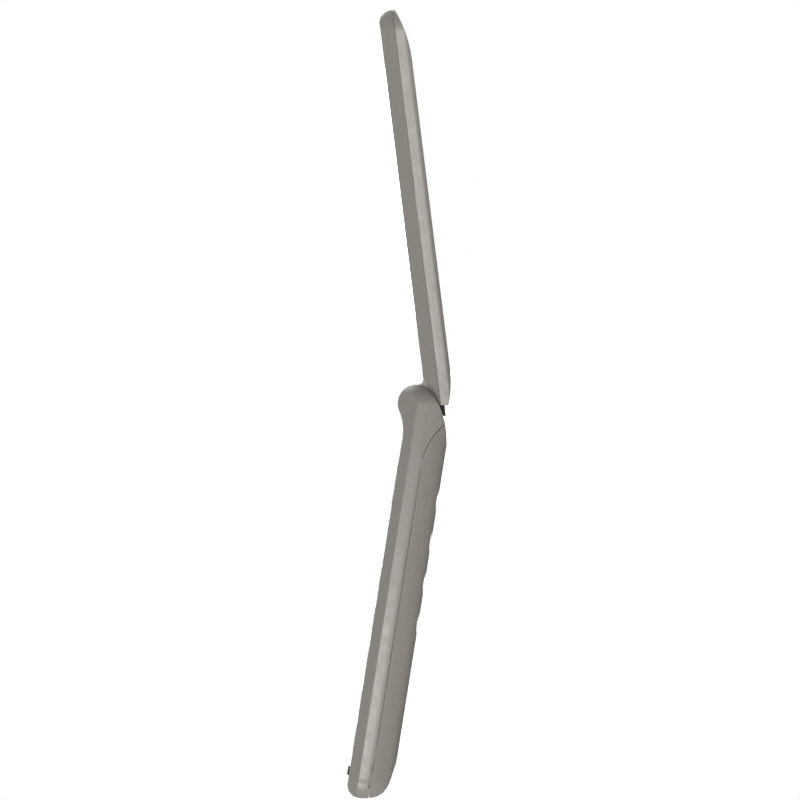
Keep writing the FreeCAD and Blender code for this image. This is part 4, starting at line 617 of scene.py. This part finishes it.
@dataclass
class Keypad:
    """The legends of the keys, printed on their caps, and the finishes of the caps."""

    frame: dict
    ink_thick: float = 0.03
    digit_height: float = 2.7
    letter_height: float = 1.15
    mark_radius: float = 1.5

    LEGENDS = {
        "key_1": ("1", ""), "key_2": ("2", "ABC"), "key_3": ("3", "DEF"),
        "key_4": ("4", "GHI"), "key_5": ("5", "JKL"), "key_6": ("6", "MNO"),
        "key_7": ("7", "PQRS"), "key_8": ("8", "TUV"), "key_9": ("9", "WXYZ"),
        "key_star": ("*", ""), "key_0": ("0", "+"), "key_hash": ("#", ""),
    }

    def cap_top(self, name: str) -> Vector:
        """The middle of a cap's top, in millimetres."""
        low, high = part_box(name)
        return Vector(((low.x + high.x) / 2, (low.y + high.y) / 2, high.z)) / METRE

    def print_on(self, name: str, shape: bmesh.types.BMesh, ink: bpy.types.Material,
                 turn: float = 0.0) -> None:
        """Lays a legend on a cap.

        Args:
            name: the key.
            shape: the legend, flat about the origin.
            ink: its material.
            turn: how far it is turned, in degrees.
        """
        place = Matrix.Translation(self.cap_top(name)) @ Matrix.Rotation(math.radians(turn), 4, "Z")
        place_piece(f"legend_{name}", shape, place, name, ink)

    def number_legend(self, name: str) -> bmesh.types.BMesh:
        """Draws a digit with its small letters beside it."""
        digit, letters = self.LEGENDS[name]
        tall = self.digit_height * (1.25 if digit == "*" else 1.0)
        shapes = [written(digit, tall, self.ink_thick)]
        drop = -0.9 if digit == "*" else 0.0
        across = -1.9 if letters else 0.0
        bmesh.ops.translate(shapes[0], vec=(across, drop, 0.0), verts=shapes[0].verts)
        if letters:
            small = written(letters, self.letter_height, self.ink_thick)
            bmesh.ops.translate(small, vec=(1.6, -0.1, 0.0), verts=small.verts)
            shapes.append(small)
        return joined(shapes)

    def handset(self, turn: float) -> bmesh.types.BMesh:
        """Draws a telephone handset: a bent bar with a pad at each end, turned for send or end."""
        radius = self.mark_radius
        bar = bmesh.new()
        bmesh.ops.create_cube(bar, size=1.0)
        bmesh.ops.scale(bar, vec=(radius * 2.2, radius * 0.5, self.ink_thick), verts=bar.verts)
        cuts = [e for e in bar.edges if abs(e.verts[0].co.x - e.verts[1].co.x) > radius]
        bmesh.ops.subdivide_edges(bar, edges=cuts, cuts=9, use_grid_fill=True)
        for vert in bar.verts:
            share = vert.co.x / (radius * 1.1)
            vert.co.y += radius * 0.35 * (1 - share * share)
        shapes = [bar]
        for side in (-1, 1):
            pad = rounded_plate(radius * 0.85, radius * 0.75, radius * 0.2, self.ink_thick)
            bmesh.ops.translate(pad, vec=(side * radius * 0.95, -radius * 0.2, self.ink_thick / 2),
                                verts=pad.verts)
            shapes.append(pad)
        whole = joined(shapes)
        bmesh.ops.rotate(whole, cent=(0, 0, 0), matrix=Matrix.Rotation(math.radians(turn), 3, "Z"),
                         verts=whole.verts)
        return whole

    def build(self) -> None:
        """Dresses the caps and prints every legend."""
        lacquer = MetallicPaint("satin silver lacquer on key caps", "ABA6A0", "B7B3AE", "A09B95",
                                metallic=0.35, roughness=0.34, flake_size=0.2, edge_radius=0.15).material()
        ink = Moulding("pad-printed charcoal ink", "35322F", "2C2A28", roughness=0.55, grain_size=0.1,
                       grain_height=0.003).material()
        green = Moulding("pad-printed green ink", "2F7D4B", "2A7044", roughness=0.55, grain_size=0.1,
                         grain_height=0.003).material()
        red = Moulding("pad-printed red ink", "A8322C", "982B26", roughness=0.55, grain_size=0.1,
                       grain_height=0.003).material()
        keys = [n for n in self.frame["nodes"] if n.startswith("key_") or n == "ok_key"]
        for name in keys:
            dress_node(self.frame, name, lacquer)
        for name in self.LEGENDS:
            self.print_on(name, self.number_legend(name), ink)
        self.print_on(CallMark.SEND.value, self.handset(30.0), green)
        self.print_on(CallMark.CLEAR.value, written("C", self.digit_height * 0.9, self.ink_thick), ink)
        self.print_on(CallMark.END.value, self.handset(0.0), red)
        self.print_on("ok_key", written("OK", 1.7, self.ink_thick), ink)
        for name in ("key_soft_left", "key_soft_right"):
            bar = rounded_plate(3.0, 0.6, 0.25, self.ink_thick)
            bmesh.ops.translate(bar, vec=(0.0, 1.6, self.ink_thick / 2), verts=bar.verts)
            self.print_on(name, bar, ink)


@dataclass
class NavigationKey:
    """The four-way ring with its arrows, and the silicone pad under it."""

    frame: dict
    arrow_radius: float = 6.9
    arrow_size: float = 1.15
    ink_thick: float = 0.03

    def build(self) -> None:
        """Dresses ring and pad, and prints an arrow on each side of the ring."""
        low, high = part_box("nav_ring")
        middle = ((low + high) / 2 / METRE)
        plating = TurnedMetal("satin chrome plating, spun", "BDBAB6", "B1AEAA", (middle.x, middle.y, 0.0),
                              roughness=0.3, ring_size=0.3)
        dress_node(self.frame, "nav_ring", plating.material())
        pad = Moulding("milky silicone", "D8D6D0", "CBC9C3", roughness=0.6)
        dress_node(self.frame, "nav_pad", pad.material())
        arrows = []
        for step in range(4):
            shape = bmesh.new()
            bmesh.ops.create_cone(shape, cap_ends=True, cap_tris=False, segments=3, radius1=self.arrow_size,
                                  radius2=self.arrow_size, depth=self.ink_thick)
            bmesh.ops.rotate(shape, cent=(0, 0, 0), matrix=Matrix.Rotation(math.radians(90), 3, "Z"),
                             verts=shape.verts)
            bmesh.ops.translate(shape, vec=(0.0, self.arrow_radius, 0.0), verts=shape.verts)
            bmesh.ops.rotate(shape, cent=(0, 0, 0), matrix=Matrix.Rotation(step * math.pi / 2, 3, "Z"),
                             verts=shape.verts)
            arrows.append(shape)
        ink = Moulding("charcoal arrow ink", "35322F", "2C2A28", roughness=0.55, grain_size=0.1,
                       grain_height=0.003).material()
        place = Matrix.Translation((middle.x, middle.y, high.z / METRE))
        place_piece("nav_arrows", joined(arrows), place, "nav_ring", ink)


@dataclass
class Shells:
    """The painted housings, the door, the covers and the rubber on them."""

    frame: dict

    def build(self) -> None:
        """Dresses the housings and their loose pieces."""
        front = MetallicPaint("champagne metallic paint", "89847E", "8D8882", "85807A").material()
        # The rear copy of the champagne paint is a shade darker than the front copy. This is painted shade on the
        # rear shell and its covers, not a different paint.
        rear_painted_shade = MetallicPaint("champagne metallic paint, rear", "88827C", "8C8681", "847E79").material()
        rubber = Moulding("black moulded rubber", "1B1917", "151311", roughness=0.75, grain_size=0.3).material()
        for name in ("front_housing", "lid_inner_housing", "lid_outer_housing"):
            dress_node(self.frame, name, front)
        for name in ("rear_housing", "battery_door", "port_cover", "volume_rocker"):
            dress_node(self.frame, name, rear_painted_shade)
        for name in ("rubber_stops", "foot_bumpers", "screw_plugs"):
            dress_node(self.frame, name, rubber)


@dataclass
class LidFaces:
    """What shows in the lid's two faces: screens, camera and earpiece. Lid frame, in millimetres."""

    frame: dict
    inner_face: float = -2.27
    outer_face: float = -8.85
    window_wide: float = 40.6
    window_start: float = 20.5
    window_end: float = 79.5
    window_thick: float = 0.75
    view_wide: float = 34.0
    view_start: float = 27.0
    view_end: float = 73.0
    outer_wide: float = 28.0
    outer_start: float = 30.0
    outer_end: float = 53.0
    outer_thick: float = 0.65
    outer_border: float = 2.3
    camera_along: float = 15.6
    camera_behind: float = 0.75
    print_thick: float = 0.03
    slack: float = 0.008
    earpiece_along: float = 84.6

    def border(self, name: str, rim: tuple[float, float, float], hole: tuple[float, float, float],
               height: float, ink: bpy.types.Material) -> None:
        """Lays the printed border under a window: a thin frame round the view.

        Args:
            name: the piece's name.
            rim: the border's outer width, and where it starts and ends along the lid.
            hole: the view's width, start and end.
            height: the height of its upper face in the lid frame.
            ink: its material.
        """
        thick = self.print_thick
        loops = []
        for width, low, high, corner in ((*rim, 2.8), (*hole, 0.8)):
            ring = rounded_plate(width, high - low, corner, thick)
            bmesh.ops.translate(ring, vec=(0.0, (low + high) / 2, 0.0), verts=ring.verts)
            caps = [f for f in ring.faces if abs(f.normal.z) > 0.9]
            bmesh.ops.delete(ring, geom=caps, context="FACES_ONLY")
            loops.append(ring)
        shape = joined(loops)
        for level in (0.0, -thick):
            rims = [e for e in shape.edges if e.is_boundary
                    and all(abs(v.co.z - level) < thick / 4 for v in e.verts)]
            bmesh.ops.bridge_loops(shape, edges=rims)
        place_piece(name, shape, HINGE.on_lid() @ Matrix.Translation((0.0, 0.0, height)), "lid", ink)

    def build(self) -> None:
        """Dresses the lid's nodes and adds borders and lens."""
        window = ClearSheet("clear hard-coated acrylic", "FDFDFD").material()
        glass = DisplayGlass("display glass, off", "22282B", "1D2225").material()
        mask = Moulding("black screen print", "0B0B0B", "090909", roughness=0.35, grain_size=0.1,
                        grain_height=0.002).material()
        for name in ("main_window", "outer_window", "camera_window"):
            dress_node(self.frame, name, window)
        for name in ("main_display", "outer_display"):
            dress_node(self.frame, name, glass)
        ring = TurnedMetal("bright turned aluminium", "CFCFCD", "B5B5B3", self.camera_centre(), HINGE.tilt,
                           roughness=0.18)
        dress_node(self.frame, "camera_ring", ring.material())
        self.border("main_screen_border", (self.window_wide - 0.2, self.window_start + 0.1, self.window_end - 0.1),
                    (self.view_wide, self.view_start, self.view_end),
                    self.inner_face - self.window_thick - self.slack, mask)
        edge = self.outer_border
        self.border("outer_screen_border", (self.outer_wide - 0.2, self.outer_start + 0.1, self.outer_end - 0.1),
                    (self.outer_wide - 2 * edge, self.outer_start + edge, self.outer_end - edge),
                    self.outer_face + self.outer_thick + self.slack + self.print_thick, mask)
        mesh = PerforatedSheet("etched steel mesh", "8F8D8A", "0A0A0A", HINGE.tilt)
        dress_node(self.frame, "earpiece_mesh", mesh.material())
        self.lens()

    def lens(self) -> None:
        """Adds the camera's stepped surround and its lens, in the room behind the camera's window."""
        black = Moulding("black anodised barrel", "141414", "0F0F0F", roughness=0.4, grain_size=0.15,
                         grain_height=0.003).material()
        glass = CoatedLens("coated lens glass", "08080C", "6A52C8", "58B8A0").material()
        window_under = self.outer_face + self.camera_behind + self.slack
        place = HINGE.on_lid() @ Matrix.Translation((0.0, self.camera_along, window_under))
        surround = [(2.95, 0.33), (2.95, 0.0), (2.45, 0.0), (2.30, 0.10), (1.95, 0.10), (1.80, 0.20), (1.50, 0.20),
                    (1.40, 0.33)]
        place_piece("camera_surround", spun(surround), place, "lid", black)
        dome = [(0.02, 0.34), (1.42, 0.34), (1.40, 0.28), (1.20, 0.19), (0.90, 0.12), (0.60, 0.08), (0.30, 0.06),
                (0.02, 0.055)]
        place_piece("camera_lens", spun(dome, 48), place, "lid", glass)

    def camera_centre(self) -> tuple[float, float, float]:
        """The middle of the camera's ring in the row frame, in millimetres."""
        return tuple(HINGE.on_lid() @ Vector((0.0, self.camera_along, self.outer_face)))


@dataclass
class Insides:
    """The pieces inside both halves, seen where a cover is off or past an edge."""

    frame: dict

    def build(self) -> None:
        """Dresses every inner node."""
        sheet = RolledMetal("pressed tinned steel", "BDBDBB", "A4A4A2", roughness=0.32).material()
        steel = RolledMetal("turned steel", "A5A4A2", "8A8987", roughness=0.28, along=(0.1, 1.0, 1.0)).material()
        gold = RolledMetal("gold-plated spring contacts", "D9B25A", "B8923F", roughness=0.25).material()
        foil = Moulding("battery wrap, dark film", "3B3D40", "333538", roughness=0.42).material()
        board = CircuitLaminate("green solder mask", "0F5A35", "1C7548", "CFA955").material()
        acetal = Moulding("natural acetal", "E2DFD6", "D5D2C9", roughness=0.4).material()
        film = Moulding("amber polyimide film", "9A5A1C", "86490F", roughness=0.3, blotch_size=1.2).material()
        domes = Moulding("clear polyester film", "D9D9D5", "C9C9C5", roughness=0.3).material()
        black = Moulding("black glass-filled moulding", "1C1B1A", "151413", roughness=0.55).material()
        dressed = {
            sheet: ("display_chassis", "shield_cans", "card_socket", "charge_connector"),
            steel: ("housing_screws", "lid_screws", "hinge_cam", "hinge_cartridge", "lid_magnet",
                    "vibration_motor"),
            gold: ("battery_contacts",),
            foil: ("battery_pack",),
            board: ("main_board", "lid_board"),
            acetal: ("hinge_bush",),
            film: ("base_flex", "lid_flex"),
            domes: ("dome_sheet",),
            black: ("loudspeaker", "microphone", "antenna", "earpiece", "camera_module"),
        }
        for finish, names in dressed.items():
            for name in names:
                dress_node(self.frame, name, finish)


@dataclass
class Studio:
    """Camera, lamps, floor and background."""

    camera_along: float = 46.19
    camera_height: float = 12.46
    camera_away: float = 4000.0
    near_side: float = 24.0
    frame_width: float = 188.0
    roll: float = 9.0
    sensor: float = 36.0
    ambient: float = 0.08
    sweep_size: float = 1.3

    def camera(self) -> None:
        """Sets the camera at the phone's right, level with it and far off, rolled as the photograph is."""
        data = bpy.data.cameras.new("long lens")
        data.sensor_width = self.sensor
        data.lens = self.sensor * (self.camera_away - self.near_side) / self.frame_width
        data.clip_end = 100.0
        turn = math.radians(self.roll)
        right = Vector((0.0, math.sin(turn), -math.cos(turn)))
        up = Vector((0.0, math.cos(turn), math.sin(turn)))
        axes = Matrix((right, up, Vector((1.0, 0.0, 0.0)))).transposed().to_4x4()
        spot = Vector((self.camera_away, self.camera_along, self.camera_height)) * METRE
        eye = bpy.data.objects.new("long lens", data)
        eye.matrix_world = Matrix.Translation(spot) @ axes
        bpy.context.scene.collection.objects.link(eye)
        bpy.context.scene.camera = eye

    def lamp(self, name: str, spot: tuple[float, float, float], size: float, level: float) -> None:
        """Hangs a soft box that points at the phone.

        Args:
            name: its name.
            spot: where it hangs, in metres.
            size: its side, in metres.
            level: the share of a plain white's brightness that it gives where it faces a surface.
        """
        data = bpy.data.lights.new(name, "AREA")
        data.size = size
        aim = Vector((0.0, self.camera_along * METRE, self.camera_height * METRE))
        away = Vector(spot) - aim
        data.energy = level * math.pi ** 2 * away.length_squared
        holder = bpy.data.objects.new(name, data)
        holder.matrix_world = Matrix.Translation(spot) @ away.to_track_quat("Z", "Y").to_matrix().to_4x4()
        holder.visible_camera = False
        bpy.context.scene.collection.objects.link(holder)

    def floor(self) -> None:
        """Lays the paper sweep that the phone rests on."""
        shape = bmesh.new()
        bmesh.ops.create_grid(shape, x_segments=8, y_segments=8, size=self.sweep_size / 2)
        mesh = bpy.data.meshes.new("paper_sweep")
        shape.to_mesh(mesh)
        shape.free()
        mesh.transform(Matrix.Translation((0.0, 0.0, -0.00005)))
        mesh.materials.append(FloorPaper().material())
        sweep = bpy.data.objects.new("paper_sweep", mesh)
        bpy.context.scene.collection.objects.link(sweep)

    def background(self) -> None:
        """Makes the world white to the eye and to mirrors, and a plain soft light to all else."""
        world = bpy.data.worlds.new("white studio")
        world.use_nodes = True
        tree = world.node_tree
        tree.nodes.clear()
        path = add_node(tree, "ShaderNodeLightPath")
        seen = add_node(tree, "ShaderNodeMath", links={0: path.outputs["Is Camera Ray"],
                                                       1: path.outputs["Is Glossy Ray"]}, operation="MAXIMUM")
        both = add_node(tree, "ShaderNodeMath", links={0: seen.outputs[0],
                                                       1: path.outputs["Is Transmission Ray"]},
                        operation="MAXIMUM")
        strength = add_node(tree, "ShaderNodeMapRange", {"To Min": self.ambient}, {"Value": both.outputs[0]})
        light = add_node(tree, "ShaderNodeBackground", {"Color": (1.0, 1.0, 1.0, 1.0)},
                         {"Strength": strength.outputs[0]})
        add_node(tree, "ShaderNodeOutputWorld", links={"Surface": light.outputs[0]})
        bpy.context.scene.world = world

    def build(self) -> None:
        """Sets up everything that isn't the phone."""
        self.camera()
        self.floor()
        self.background()
        self.lamp("front soft box", (1.7, 0.0, 0.06), 0.4, 0.55)
        self.lamp("low key soft box", (1.25, -1.1, 0.12), 0.6, 0.48)
        self.lamp("overhead soft box", (-0.9, 0.1, 1.2), 0.9, 0.65)
        self.lamp("left fill", (-1.5, 0.2, 0.4), 0.8, 0.60)
        self.lamp("far fill", (-0.8, 1.4, 0.5), 0.8, 0.25)
        bpy.context.scene.view_settings.view_transform = "Standard"


def main() -> None:
    """Builds the phone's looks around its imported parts."""
    logging.basicConfig(level=logging.INFO, format="%(name)s %(message)s")
    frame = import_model()
    Studio().build()
    Shells(frame).build()
    Keypad(frame).build()
    NavigationKey(frame).build()
    LidFaces(frame).build()
    Insides(frame).build()


if __name__ == "__main__":
    main()
